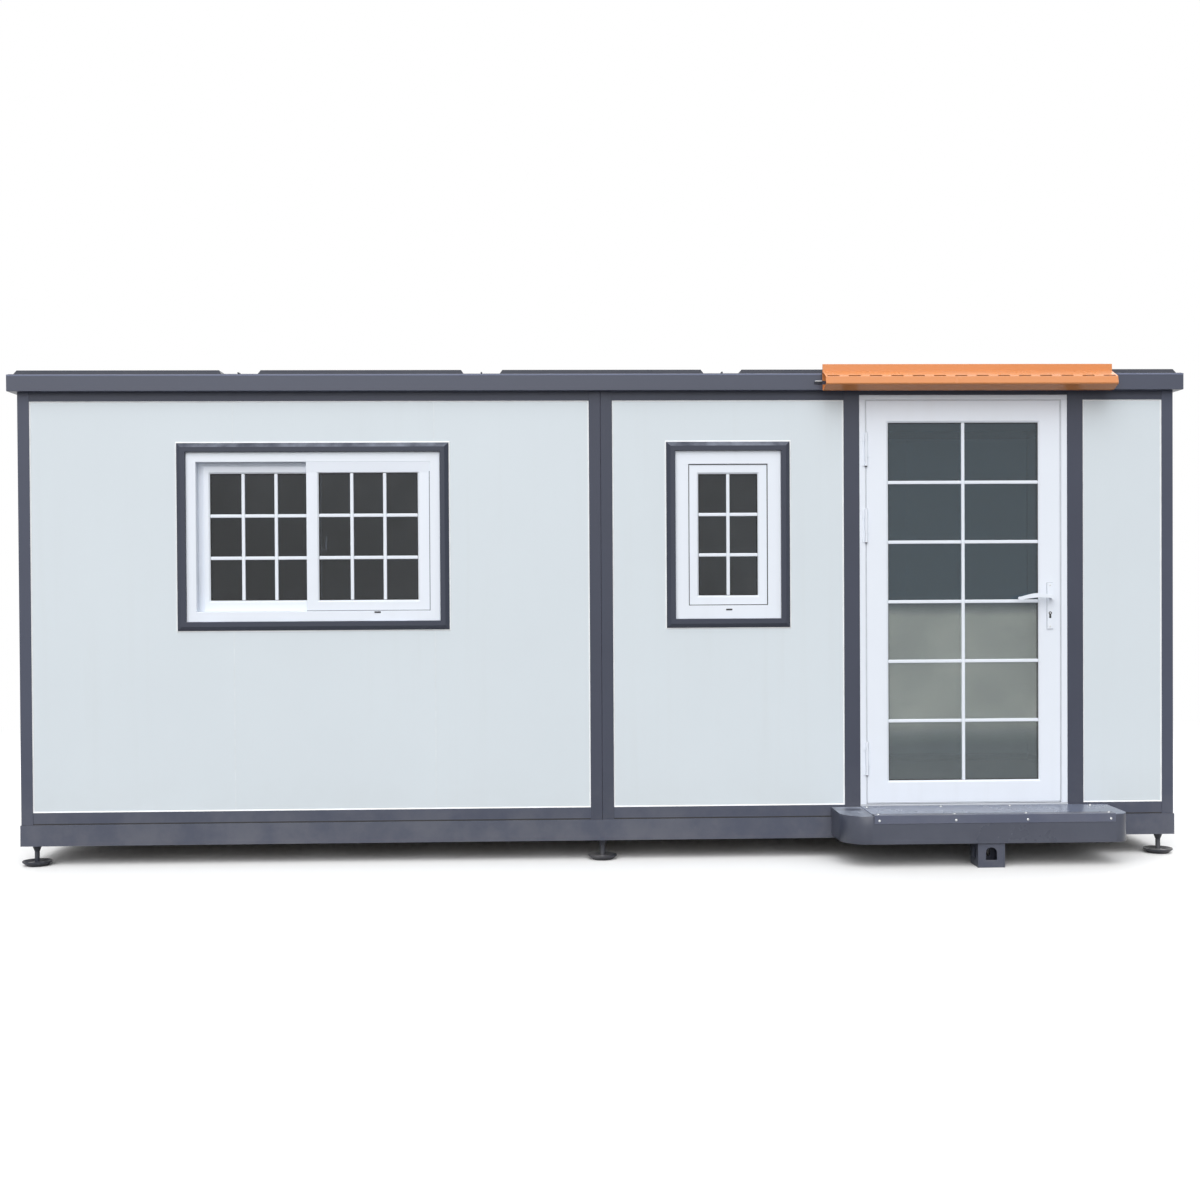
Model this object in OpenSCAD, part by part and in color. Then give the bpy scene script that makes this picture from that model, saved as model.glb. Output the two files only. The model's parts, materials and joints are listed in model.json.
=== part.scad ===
// Steel-framed cabin of container size: a base frame on levelling feet, sandwich wall panels between
// box posts, pressed roof plates, a sliding window, a side-hung window, a glazed door over an outside
// step, and a rain hood above the door. The front faces -Y, +Z is up, and all sizes are millimetres.

/* [Frame] */
// Depth of the frame over its corner posts
frame_d = 2340; // [2000:10:2800]
// Height of the levelling feet below the base frame
foot_h = 100; // [80:1:150]
// Height of the base beams
base_h = 105; // [90:1:140]
// Width of the base beams' flanges
base_flange = 90; // [80:1:120]
// Sheet thickness of the base beams
base_t = 4; // [3:0.5:6]
// How far the base beams stand in front of the posts
base_proud = 4; // [1:0.5:10]
// Width of the corner posts and of each middle post
post_w = 58; // [57:1:80]
// Wall thickness of posts and rails
post_t = 3; // [2:0.5:5]
// Width of the posts beside the door
door_post_w = 80; // [60:1:100]
// Height of the rails below the wall panels
bottom_rail_h = 61; // [45:1:90]
// Height of the rails above the wall panels
top_rail_h = 47; // [45:1:70]
// How far the rails lie behind the posts' faces
rail_setback = 3; // [1:0.5:6]

/* [Walls and floor] */
// Height of the wall panels
panel_h = 2043; // [2030:1:2300]
// Thickness of the wall panels
panel_t = 50; // [40:1:51]
// Width of one wall panel
panel_w = 1000; // [900:10:1150]
// How far the panels lie behind the posts' faces
panel_setback = 6; // [2:0.5:6]
// Gap at the joint of two panels or two middle posts
joint_gap = 1; // [0.5:0.5:3]
// Share of its width by which the last panel of a wall may be wider
wide_panel_share = 0.2; // [0:0.05:0.3]
// Width of the wall between the left corner post and the middle posts
left_bay_w = 2775; // [2700:5:2900]
// Width of the wall between the middle posts and the door
mid_bay_w = 1168; // [1000:1:1400]
// Width of the wall between the door and the right corner post
right_bay_w = 404; // [300:1:500]
// Thickness of the floor board
floor_t = 20; // [15:1:40]
// Number of joists below the floor
joist_count = 10; // [6:2:12]
// Width of a joist
joist_w = 50; // [40:1:80]
// Thickness of the ceiling panel
ceiling_t = 50; // [40:1:60]

/* [Roof] */
// How far the roof edge stands out beyond the posts
roof_over = 40; // [20:1:60]
// Height of the roof edge
roof_edge_h = 83; // [75:1:120]
// Sheet thickness of the roof edge
roof_edge_t = 4; // [3:0.5:6]
// Width of the roof edge's upper flange
roof_lip = 60; // [40:1:90]
// Number of pressed roof plates
plate_count = 5; // [4:1:6]
// How much of the two end plates is trimmed off
plate_trim = 68; // [0:1:72]
// Sheet thickness of the roof plates
plate_t = 2; // [1:0.5:3]
// Rise of a plate's raised field
field_rise = 24; // [10:1:40]
// Run of the slope around a raised field
field_slope = 15; // [8:1:40]
// Distance from the seam between two plates to the raised fields beside it
field_margin = 88; // [85:1:120]
// Distance from the front and back of a plate to its raised field
field_end_margin = 30; // [15:1:80]
// Height of the standing seams between the plates
seam_h = 8; // [4:1:25]
// Thickness of each plate's half of a seam
seam_t = 3; // [2:0.5:5]

/* [Windows] */
// Height of the windows' trims above the foot of the panels
sill_h = 900; // [800:5:1000]
// Height of the windows' trims
trim_h = 936; // [880:2:1000]
// Width of the sliding window's trim
slide_trim_w = 1352; // [1200:2:1500]
// Distance from the left corner post to the sliding window's trim
slide_offset = 721; // [600:1:800]
// Width of the side-hung window's trim
hung_trim_w = 624; // [560:2:700]
// Distance from the middle posts to the side-hung window's trim
hung_offset = 271; // [150:1:350]
// Width of the trim around a window
trim_band = 45; // [30:1:60]
// How far a trim stands out from the wall
trim_out = 20; // [12:1:24]
// Face width of the sliding window's frame
slide_band = 50; // [40:1:60]
// Face width of the side-hung window's frame
hung_band = 67; // [50:1:75]
// Width of the sliding sashes' stiles
slide_stile = 62; // [50:1:75]
// Height of the sliding sashes' rails
slide_rail = 56; // [45:1:75]
// Width of the side-hung sash's stiles and rails
hung_stile = 49; // [40:1:60]
// Depth of the window frames
window_depth = 80; // [76:1:90]
// Thickness of a sash
sash_t = 30; // [26:1:32]
// Thickness of a window's glass unit
window_glass_t = 18; // [6:1:22]

/* [Door] */
// Width between the posts beside the door
door_bay_w = 1060; // [900:2:1100]
// Face width of the door's jambs
jamb_w = 30; // [25:1:50]
// Height of the door frame's head
head_h = 24; // [20:1:26]
// Depth of the door frame
door_frame_d = 75; // [72:1:90]
// Thickness of the door leaf
leaf_t = 45; // [40:1:46]
// Width of the door leaf's stiles and rails
leaf_stile = 110; // [100:1:130]
// Thickness of the door's glass unit
door_glass_t = 24; // [12:1:30]
// Gap beside and above the leaf
leaf_gap = 6; // [6:0.5:8]
// Gap at the leaf's lock side
lock_gap = 8; // [8:0.5:10]
// Gap below the leaf
sweep_gap = 9; // [7:0.5:12]
// Diameter of the hinge barrels
barrel_d = 14; // [13:0.5:18]
// Height of a hinge
hinge_h = 168; // [120:2:200]
// Height of the lever's spindle above the leaf's foot
lever_h = 1036; // [950:1:1100]
// Length of the lever from its spindle
lever_l = 176; // [172:1:190]

/* [Step] */
// Width of the step
step_w = 1400; // [1200:10:1500]
// How far the step reaches in front of the posts
step_reach = 350; // [300:5:420]
// Height of the cover plate's top above the ground
step_top = 258; // [240:1:260]
// Height of the step's body
step_h = 136; // [110:1:140]
// Radius of the step's left front corner
step_left_r = 140; // [60:1:160]
// Radius of the step's right front corner
step_right_r = 66; // [30:1:120]
// Sheet thickness of the step's body
step_t = 3; // [2:0.5:5]
// Thickness of the cover plate and of the nosing
cover_t = 3; // [2:0.5:3]
// Width of the nosing on top of the step
nosing_w = 60; // [40:1:80]
// Height of the nosing's front
nosing_h = 42; // [25:1:60]
// Width of the step's leg
leg_w = 132; // [100:1:180]
// Depth of the step's leg
leg_d = 140; // [100:1:180]

/* [Rain hood] */
// Length of the hood
hood_l = 1466; // [1200:2:1500]
// Height of the hood
hood_h = 134; // [120:1:145]
// How far the hood reaches out from the roof edge
hood_out = 105; // [90:1:130]
// Sheet thickness of the hood
hood_t = 3; // [2:0.5:4]
// Number of slots along the hood's slope
slot_count = 14; // [8:1:16]
// Length of a slot
slot_l = 60; // [40:1:75]
// Width of a slot
slot_w = 14; // [8:1:16]

/* [Hidden] */
$fn = 48;
// One overrun for all cuts
cut = 1;

// Length of the frame over its corner posts
frame_l = 4 * post_w + joint_gap + left_bay_w + mid_bay_w + 2 * door_post_w + door_bay_w + right_bay_w;

// Plan: the box that holds the cabin and its step is centred on the origin
front_y = (step_reach - frame_d - roof_over) / 2;
back_y = front_y + frame_d;
left_x = -frame_l / 2;
right_x = frame_l / 2;
left_in = left_x + post_w;
right_in = right_x - post_w;
mid_left = left_in + left_bay_w;
mid_right = mid_left + 2 * post_w + joint_gap;
mid_x = (mid_left + mid_right) / 2;
door_right = right_in - right_bay_w - door_post_w;
door_left = door_right - door_bay_w;
door_x = (door_left + door_right) / 2;
end_run = frame_d - 2 * post_w;

// Levels
base_z = foot_h;
rail_z = base_z + base_h;
panel_z = rail_z + bottom_rail_h;
panel_top = panel_z + panel_h;
post_top = panel_top + top_rail_h;
post_h = post_top - rail_z;
roof_z = post_top + roof_edge_h;

// Runs of wall along X, each as its start and its length
front_runs = [
    [left_in, left_bay_w],
    [mid_right, mid_bay_w],
    [door_right + door_post_w, right_bay_w]
];
back_runs = [
    [left_in, left_bay_w],
    [mid_right, right_in - mid_right]
];
rail_d = post_w - rail_setback;

// Base frame and feet
base_l = frame_l + 2 * base_proud;
base_d = frame_d + 2 * base_proud;
foot_inset_x = 70;
foot_inset_y = 40;
pad_foot_r = 50;
pad_r = 72;
pad_h = 24;
pad_edge = 6;
dish_z = 12;
hub_h = 20;
screw_r = 12;
screw_over = 30;
screw_fit = 1;
collar_r = 24;
collar_h = 30;
joist_t = 3;
foot_places = [
    for (x = [-base_l / 2 + foot_inset_x, mid_x, base_l / 2 - foot_inset_x])
        for (y = [front_y - base_proud + foot_inset_y, back_y + base_proud - foot_inset_y])
            [x, y]
];

// Roof
roof_l = frame_l + 2 * roof_over;
roof_d = frame_d + 2 * roof_over;
roof_flange = roof_over + post_w;
ceiling_seat = 30;
plate_inset = 8;
plate_pitch = (roof_l + 2 * plate_trim) / plate_count;
plate_d = roof_d - 2 * plate_inset;

// Windows, seen from the front
trim_edge = 3;
trim_bevel = 21;
frame_out = 4;
wall_y = front_y + panel_setback;
hole_h = trim_h - 2 * trim_band;
slide_hole_w = slide_trim_w - 2 * trim_band;
hung_hole_w = hung_trim_w - 2 * trim_band;
window_z = panel_z + sill_h + trim_h / 2;
slide_x = left_in + slide_offset + slide_trim_w / 2;
hung_x = mid_right + hung_offset + hung_trim_w / 2;
sash_recess = 8;
bead_w = 9;
bead_h = 6;
sash_lap = 70;
slide_in_w = slide_hole_w - 2 * slide_band;
slide_in_h = hole_h - 2 * slide_band;
slide_sash_w = (slide_in_w + sash_lap) / 2;
track_gap = 4;
rebate_w = 30;
rebate_h = 18;
rebate_d = 12;
hung_stop = 18;
hung_stop_t = 24;
hung_gap = 2;
hung_in_w = hung_hole_w - 2 * hung_band;
hung_in_h = hole_h - 2 * hung_band;
hung_sash_w = hung_in_w - 2 * hung_gap;
hung_sash_h = hung_in_h - 2 * hung_gap;

// Door
door_setback = 2;
door_y = front_y + door_setback;
head_gap = 2;
head_z = panel_top + head_gap;
head_top = head_z + head_h;
leaf_left = door_left + jamb_w + leaf_gap;
leaf_right = door_right - jamb_w - lock_gap;
leaf_w = leaf_right - leaf_left;
leaf_z = panel_z + sweep_gap;
leaf_top = head_z - leaf_gap;
leaf_h = leaf_top - leaf_z;
leaf_back = door_y + leaf_t;
stop_gap = 5;
stop_w = 18;
stop_t = door_frame_d - leaf_t - stop_gap;
threshold_out = 2;
threshold_fall = 4;

// Door hinges
barrel_r = barrel_d / 2;
pin_r = 4;
pin_fit = 0.05;
knuckle_gap = 0.8;
barrel_clear = 0.6;
hinge_plate_t = 3;
hinge_plate_w = 20;
hinge_x = leaf_left - leaf_gap / 2;
hinge_y = door_y - barrel_r - barrel_clear;
knuckle_share = 0.26;
knuckle_h = hinge_h * knuckle_share;
middle_knuckle_h = hinge_h - 2 * (knuckle_h + knuckle_gap);
hinge_shares = [0.11, 0.69, 0.88];
hinge_places = [for (share = hinge_shares) leaf_z + leaf_h * share];

// Lock and lever
plate_l = 233;
plate_face_w = 30;
lock_plate_t = 7;
lock_inset = 52;
lock_x = leaf_right - lock_inset;
lever_z = leaf_z + lever_h;
plate_below = 162;
keyhole_drop = 82;
keyhole_r = 8.5;
keyhole_slot_w = 10;
keyhole_slot_h = 25;
spindle_r = 8;
spindle_fit = 0.5;
lever_neck = 42;
lever_t = 13;
lever_hub_r = 12;
lever_root = 7;
lever_tip_r = 8.5;
lever_belly = 4;
lever_wave = 9;
lever_sweep = 220;
lever_steps = 16;

// Step
step_shift = 21;
step_x = door_x + step_shift;
step_back = front_y - base_proud;
step_front = front_y - step_reach;
step_d = step_back - step_front;
step_z = step_top - cover_t - step_h;
cover_start = 148;
cover_end = 4;
leg_wall = 10;
leg_inset = 12;
leg_shift = 22;
leg_h = step_z + step_h - step_t;
arch_w = 54;
arch_h = 62;
arch_z = 36;

// Rain hood: its outline in shares of its reach and height, from the top of the back flange
hood_shift = 10;
hood_rise = 45;
hood_x = door_x + hood_shift;
hood_y = front_y - roof_over;
hood_top = roof_z + hood_rise;
hood_shares = [
    [0, 0.62], [0, 0], [0.08, 0], [0.1, 0.27], [0.84, 0.5], [0.92, 0.545], [1, 0.79],
    [0.965, 0.835], [0.38, 0.985], [0.12, 0.995], [0.04, 0.95], [0.04, 0.76]
];

// Slots: the line that they lie on and the band of the slope that they pass, in shares of the hood
slot_out_share = 0.88;
slot_band_shares = [0.4, 0.62];
slot_inset = 10;
slot_pitch = (hood_l - slot_l - 2 * slot_inset) / (slot_count - 1);

// Colours
frame_grey = [0.34, 0.36, 0.42];
trim_grey = [0.28, 0.30, 0.36];
foot_grey = [0.17, 0.18, 0.22];
panel_white = [0.85, 0.88, 0.91];
window_white = [0.92, 0.94, 0.96];
glass_grey = [0.35, 0.40, 0.44, 0.6];
hood_orange = [0.93, 0.58, 0.30];
zinc_grey = [0.66, 0.67, 0.68];
steel_grey = [0.75, 0.76, 0.78];
board_brown = [0.55, 0.50, 0.44];

// Shared shapes

// Channel section, with its web on the left and its flanges to the right
module channel(h, low, high, t) {
    polygon([
        [0, 0], [low, 0], [low, t], [t, t], [t, h - t], [high, h - t], [high, h], [0, h]
    ]);
}

// Bar along +X with ends cut at 45 degrees; its section has X going inwards and Y going up
module mitred_bar(length, band, height) {
    intersection() {
        rotate([90, 0, 90]) linear_extrude(length) children();
        linear_extrude(height) polygon([[0, 0], [length, 0], [length - band, band], [band, band]]);
    }
}

// Ring of four mitred bars that lies flat and is centred on the origin
module mitred_ring(w, h, band, height) {
    for (side = [0 : 3]) {
        length = side % 2 == 0 ? w : h;
        across = side % 2 == 0 ? h : w;
        rotate([0, 0, 90 * side])
            translate([-length / 2, -across / 2, 0])
                mitred_bar(length, band, height) children();
    }
}

// Flat rectangular ring
module flat_ring(w, h, band_x, band_y, t) {
    linear_extrude(t) difference() {
        square([w, h], center = true);
        square([w - 2 * band_x, h - 2 * band_y], center = true);
    }
}

// Box tube along +X
module tube_x(length, d, h, t) {
    difference() {
        cube([length, d, h]);
        translate([-cut, t, t]) cube([length + 2 * cut, d - 2 * t, h - 2 * t]);
    }
}

// Upright box tube
module post(w, d) {
    difference() {
        cube([w, d, post_h]);
        translate([post_t, post_t, -cut]) cube([w - 2 * post_t, d - 2 * post_t, post_h + 2 * cut]);
    }
}

// Side view of a sloped block: foot_w wide below, sloping in to its top
module sloped_outline(foot_w, rise, run, below) {
    polygon([
        [-foot_w / 2, -below], [foot_w / 2, -below], [foot_w / 2, 0],
        [foot_w / 2 - run, rise], [-foot_w / 2 + run, rise], [-foot_w / 2, 0]
    ]);
}

// Block with four sloped sides
module sloped_block(w, d, rise, run, below) {
    intersection() {
        rotate([90, 0, 0]) linear_extrude(d, center = true) sloped_outline(w, rise, run, below);
        rotate([90, 0, 90]) linear_extrude(w, center = true) sloped_outline(d, rise, run, below);
    }
}

// Cuts a sloped bead around a glazed opening, down from a face at the origin
module bead_cut(w, h) {
    mirror([0, 0, 1]) sloped_block(w + 2 * bead_w, h + 2 * bead_w, bead_h, bead_w, cut);
}

// Places a piece on the front wall: X stays, Y goes up, Z comes out towards the front
module on_front(x, y, z) {
    translate([x, y, z]) rotate([90, 0, 0]) children();
}

// Base frame, floor and feet

module base_side(length) {
    mitred_bar(length, base_flange, base_h) channel(base_h, base_flange, base_flange, base_t);
}

module foot_holes() {
    for (place = foot_places)
        translate([place[0], place[1], base_z - cut])
            cylinder(r = screw_r + screw_fit, h = base_t + 2 * cut);
}

module base_long_beams() {
    color(frame_grey) difference() {
        union() {
            translate([-base_l / 2, front_y - base_proud, base_z]) base_side(base_l);
            translate([base_l / 2, back_y + base_proud, base_z]) rotate([0, 0, 180]) base_side(base_l);
        }
        foot_holes();
    }
}

module base_end_beams() {
    color(frame_grey) {
        translate([-base_l / 2, back_y + base_proud, base_z]) rotate([0, 0, -90]) base_side(base_d);
        translate([base_l / 2, front_y - base_proud, base_z]) rotate([0, 0, 90]) base_side(base_d);
    }
}

module floor_joists() {
    pitch = base_l / joist_count;
    span = base_d - 2 * base_flange;
    color(zinc_grey)
        for (i = [0 : joist_count - 1])
            translate([-base_l / 2 + (i + 1 / 2) * pitch, front_y - base_proud + base_flange, base_z])
                rotate([0, 0, 90]) translate([0, -joist_w / 2, 0]) tube_x(span, joist_w, base_h, joist_t);
}

module floor_board() {
    color(board_brown)
        translate([left_in, front_y + post_w, rail_z])
            cube([frame_l - 2 * post_w, frame_d - 2 * post_w, floor_t]);
}

// Dished pad with a screw that widens to a collar below the base frame
module levelling_foot() {
    rotate_extrude() polygon([
        [0, 0], [pad_foot_r, 0], [pad_r, pad_h - pad_edge], [pad_r, pad_h],
        [pad_foot_r, dish_z], [screw_r, hub_h],
        [screw_r, foot_h - collar_h], [collar_r, foot_h], [screw_r, foot_h],
        [screw_r, foot_h + base_t + screw_over], [0, foot_h + base_t + screw_over]
    ]);
}

module levelling_feet() {
    color(foot_grey)
        for (place = foot_places)
            translate([place[0], place[1], 0]) levelling_foot();
}

// Posts and rails

module rail_ring(h) {
    for (run = front_runs)
        translate([run[0], front_y + rail_setback, 0]) tube_x(run[1], rail_d, h, post_t);
    for (run = back_runs)
        translate([run[0], back_y - post_w, 0]) tube_x(run[1], rail_d, h, post_t);
    for (x = [left_in, right_x - rail_setback])
        translate([x, front_y + post_w, 0]) rotate([0, 0, 90]) tube_x(end_run, rail_d, h, post_t);
}

module bottom_rails() {
    color(frame_grey) translate([0, 0, rail_z]) rail_ring(bottom_rail_h);
}

module top_rails() {
    color(frame_grey) {
        translate([0, 0, panel_top]) rail_ring(top_rail_h);
        translate([door_left, front_y + rail_setback, head_top])
            tube_x(door_bay_w, rail_d, post_top - head_top, post_t);
    }
}

module corner_posts() {
    color(frame_grey)
        for (x = [left_x, right_in])
            for (y = [front_y, back_y - post_w])
                translate([x, y, rail_z]) post(post_w, post_w);
}

module middle_posts() {
    color(frame_grey)
        for (x = [mid_left, mid_right - post_w])
            for (y = [front_y, back_y - post_w])
                translate([x, y, rail_z]) post(post_w, post_w);
}

module door_posts() {
    color(frame_grey)
        for (x = [door_left - door_post_w, door_right])
            translate([x, front_y, rail_z]) post(door_post_w, post_w);
}

// Roof

module roof_side(length) {
    mitred_bar(length, roof_flange, roof_edge_h) channel(roof_edge_h, roof_flange, roof_lip, roof_edge_t);
}

module roof_front_edge() {
    color(frame_grey)
        translate([-roof_l / 2, front_y - roof_over, post_top]) roof_side(roof_l);
}

module roof_back_edge() {
    color(frame_grey)
        translate([roof_l / 2, back_y + roof_over, post_top]) rotate([0, 0, 180]) roof_side(roof_l);
}

module roof_end_edges() {
    color(frame_grey) {
        translate([-roof_l / 2, back_y + roof_over, post_top]) rotate([0, 0, -90]) roof_side(roof_d);
        translate([roof_l / 2, front_y - roof_over, post_top]) rotate([0, 0, 90]) roof_side(roof_d);
    }
}

module raised_field(w, d, below) {
    sloped_block(w, d, field_rise, field_slope, below);
}

// Half of a roof plate, to the right of the middle of its field; an end half has no seam
module half_plate(is_end) {
    half_w = is_end ? plate_pitch / 2 - plate_trim - plate_inset : (plate_pitch - joint_gap) / 2;
    translate([0, -plate_d / 2, 0]) {
        cube([half_w, plate_d, plate_t]);
        if (!is_end) translate([half_w - seam_t, 0, 0]) cube([seam_t, plate_d, plate_t + seam_h]);
    }
}

module roof_plate(left_end, right_end) {
    field_w = plate_pitch - 2 * field_margin;
    field_d = plate_d - 2 * field_end_margin;
    difference() {
        union() {
            mirror([1, 0, 0]) half_plate(left_end);
            half_plate(right_end);
            translate([0, 0, plate_t]) raised_field(field_w, field_d, plate_t);
        }
        raised_field(field_w - 2 * plate_t, field_d - 2 * plate_t, cut);
    }
}

module roof_plates() {
    last = plate_count - 1;
    color(frame_grey)
        for (i = [0 : last])
            translate([(i - last / 2) * plate_pitch, (front_y + back_y) / 2, roof_z])
                roof_plate(i == 0, i == last);
}

module ceiling_panel() {
    color(panel_white)
        translate([left_in - ceiling_seat, front_y + post_w - ceiling_seat, post_top + roof_edge_t])
            cube([frame_l - 2 * (post_w - ceiling_seat), frame_d - 2 * (post_w - ceiling_seat), ceiling_t]);
}

// Walls

// Wall panels side by side along +X
module wall_run(length) {
    count = max(1, ceil(length / panel_w - wide_panel_share));
    for (i = [0 : count - 1]) {
        start = i * panel_w;
        end = i == count - 1 ? length : start + panel_w - joint_gap;
        translate([start, 0, 0]) cube([end - start, panel_t, panel_h]);
    }
}

module front_run(i) {
    translate([front_runs[i][0], wall_y, panel_z]) wall_run(front_runs[i][1]);
}

module back_run(i) {
    translate([back_runs[i][0], back_y - panel_setback - panel_t, panel_z]) wall_run(back_runs[i][1]);
}

module window_hole(x, w) {
    translate([x - w / 2, wall_y - cut, window_z - hole_h / 2]) cube([w, panel_t + 2 * cut, hole_h]);
}

module front_wall_left() {
    color(panel_white) difference() {
        front_run(0);
        window_hole(slide_x, slide_hole_w);
    }
}

module front_wall_middle() {
    color(panel_white) difference() {
        front_run(1);
        window_hole(hung_x, hung_hole_w);
    }
}

module front_wall_right() {
    color(panel_white) front_run(2);
}

module back_wall_left() {
    color(panel_white) back_run(0);
}

module back_wall_right() {
    color(panel_white) back_run(1);
}

module end_walls() {
    color(panel_white)
        for (x = [left_x + panel_setback + panel_t, right_x - panel_setback])
            translate([x, front_y + post_w, panel_z]) rotate([0, 0, 90]) wall_run(end_run);
}

// Windows

module window_trim(w) {
    color(trim_grey)
        mitred_ring(w, trim_h, trim_band, trim_out)
            polygon([[0, 0], [trim_band, 0], [trim_band, trim_out], [trim_bevel, trim_out], [0, trim_edge]]);
}

module sliding_window_trim() {
    on_front(slide_x, wall_y, window_z) window_trim(slide_trim_w);
}

module hung_window_trim() {
    on_front(hung_x, wall_y, window_z) window_trim(hung_trim_w);
}

module sliding_window_frame() {
    color(window_white)
        on_front(slide_x, wall_y, window_z) translate([0, 0, frame_out - window_depth])
            flat_ring(slide_hole_w, hole_h, slide_band, slide_band, window_depth);
}

// Places a sliding sash: side -1 is the fixed one behind on the left, side 1 the one in front
module slide_place(side, depth) {
    shift = side * (slide_in_w - slide_sash_w) / 2;
    back = side > 0 ? sash_recess + depth : sash_recess + sash_t + track_gap + depth;
    on_front(slide_x + shift, wall_y, window_z) translate([0, 0, frame_out - back]) children();
}

// Glazed ring with a sloped bead on its front
module beaded_ring(w, h, band_x, band_y) {
    difference() {
        flat_ring(w, h, band_x, band_y, sash_t);
        translate([0, 0, sash_t]) bead_cut(w - 2 * band_x, h - 2 * band_y);
    }
}

module slide_sash() {
    color(window_white) beaded_ring(slide_sash_w, slide_in_h, slide_stile, slide_rail);
}

// The fixed sash has a rebate along its left stile and top rail, where it meets the frame
module fixed_sash() {
    slide_place(-1, sash_t) difference() {
        slide_sash();
        translate([-slide_sash_w / 2 - cut, -slide_in_h / 2 - cut, sash_t - rebate_d])
            cube([rebate_w + cut, slide_in_h + 2 * cut, rebate_d + cut]);
        translate([-slide_sash_w / 2 - cut, slide_in_h / 2 - rebate_h, sash_t - rebate_d])
            cube([slide_sash_w + 2 * cut, rebate_h + cut, rebate_d + cut]);
    }
}

module sliding_sash() {
    slide_place(1, sash_t) slide_sash();
}

module sliding_window_glass() {
    color(glass_grey)
        for (side = [-1, 1])
            slide_place(side, (sash_t + window_glass_t) / 2)
                linear_extrude(window_glass_t)
                    square([slide_sash_w - 2 * slide_stile, slide_in_h - 2 * slide_rail], center = true);
}

module hung_window_frame() {
    color(window_white)
        on_front(hung_x, wall_y, window_z) translate([0, 0, frame_out - window_depth]) {
            flat_ring(hung_hole_w, hole_h, hung_band, hung_band, window_depth);
            translate([0, 0, window_depth - sash_recess - sash_t - hung_stop_t])
                flat_ring(hung_hole_w, hole_h, hung_band + hung_stop, hung_band + hung_stop, hung_stop_t);
        }
}

module hung_sash() {
    color(window_white)
        on_front(hung_x, wall_y, window_z) translate([0, 0, frame_out - sash_recess - sash_t])
            beaded_ring(hung_sash_w, hung_sash_h, hung_stile, hung_stile);
}

module hung_window_glass() {
    color(glass_grey)
        on_front(hung_x, wall_y, window_z)
            translate([0, 0, frame_out - sash_recess - (sash_t + window_glass_t) / 2])
                linear_extrude(window_glass_t)
                    square([hung_sash_w - 2 * hung_stile, hung_sash_h - 2 * hung_stile], center = true);
}

// Door frame

module door_jambs() {
    color(window_white)
        for (x = [door_left, door_right - jamb_w])
            translate([x, door_y, panel_z]) cube([jamb_w, door_frame_d, head_z - panel_z]);
}

module door_head() {
    color(window_white)
        translate([door_left, door_y, head_z]) cube([door_bay_w, door_frame_d, head_h]);
}

module door_threshold() {
    color(steel_grey)
        translate([door_left, front_y, rail_z])
            rotate([90, 0, 90]) linear_extrude(door_bay_w) polygon([
                [-threshold_out, 0], [post_w, 0], [post_w, bottom_rail_h],
                [door_setback, bottom_rail_h], [-threshold_out, bottom_rail_h - threshold_fall]
            ]);
}

module door_stops() {
    stop_y = leaf_back + stop_gap;
    side_x = door_left + jamb_w;
    head_l = door_bay_w - 2 * (jamb_w + stop_w + joint_gap);
    color(window_white) {
        for (x = [side_x, door_right - jamb_w - stop_w])
            translate([x, stop_y, panel_z]) cube([stop_w, stop_t, head_z - panel_z]);
        translate([side_x + stop_w + joint_gap, stop_y, head_z - stop_w]) cube([head_l, stop_t, stop_w]);
    }
}

// Door leaf and its fittings

module door_leaf() {
    pane_w = leaf_w - 2 * leaf_stile;
    pane_h = leaf_h - 2 * leaf_stile;
    color(window_white) difference() {
        translate([leaf_left, door_y, leaf_z]) cube([leaf_w, leaf_t, leaf_h]);
        on_front((leaf_left + leaf_right) / 2, leaf_back, (leaf_z + leaf_top) / 2) {
            translate([0, 0, -cut]) linear_extrude(leaf_t + 2 * cut) square([pane_w, pane_h], center = true);
            translate([0, 0, leaf_t]) bead_cut(pane_w, pane_h);
            mirror([0, 0, 1]) bead_cut(pane_w, pane_h);
        }
        on_front(lock_x, leaf_back + cut, lever_z)
            cylinder(r = spindle_r + spindle_fit, h = leaf_t + 2 * cut);
    }
}

module door_glass() {
    color(glass_grey)
        translate([leaf_left + leaf_stile, door_y + (leaf_t - door_glass_t) / 2, leaf_z + leaf_stile])
            cube([leaf_w - 2 * leaf_stile, door_glass_t, leaf_h - 2 * leaf_stile]);
}

// Two outer knuckles with their plates on the jamb, and the pin through all knuckles
module frame_hinge() {
    cylinder(r = pin_r, h = hinge_h);
    for (z = [0, hinge_h - knuckle_h])
        translate([0, 0, z]) {
            cylinder(r = barrel_r, h = knuckle_h);
            translate([-hinge_plate_w, barrel_r + barrel_clear - hinge_plate_t, 0])
                cube([hinge_plate_w, hinge_plate_t, knuckle_h]);
        }
}

module frame_hinges() {
    color(window_white)
        for (z = hinge_places)
            translate([hinge_x, hinge_y, z - hinge_h / 2]) frame_hinge();
}

// Middle knuckle with its plate on the leaf
module leaf_hinge() {
    difference() {
        union() {
            cylinder(r = barrel_r, h = middle_knuckle_h);
            translate([0, barrel_r + barrel_clear - hinge_plate_t, 0])
                cube([hinge_plate_w, hinge_plate_t, middle_knuckle_h]);
        }
        translate([0, 0, -cut]) cylinder(r = pin_r + pin_fit, h = middle_knuckle_h + 2 * cut);
    }
}

module leaf_hinges() {
    color(window_white)
        for (z = hinge_places)
            translate([hinge_x, hinge_y, z - middle_knuckle_h / 2]) leaf_hinge();
}

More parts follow.
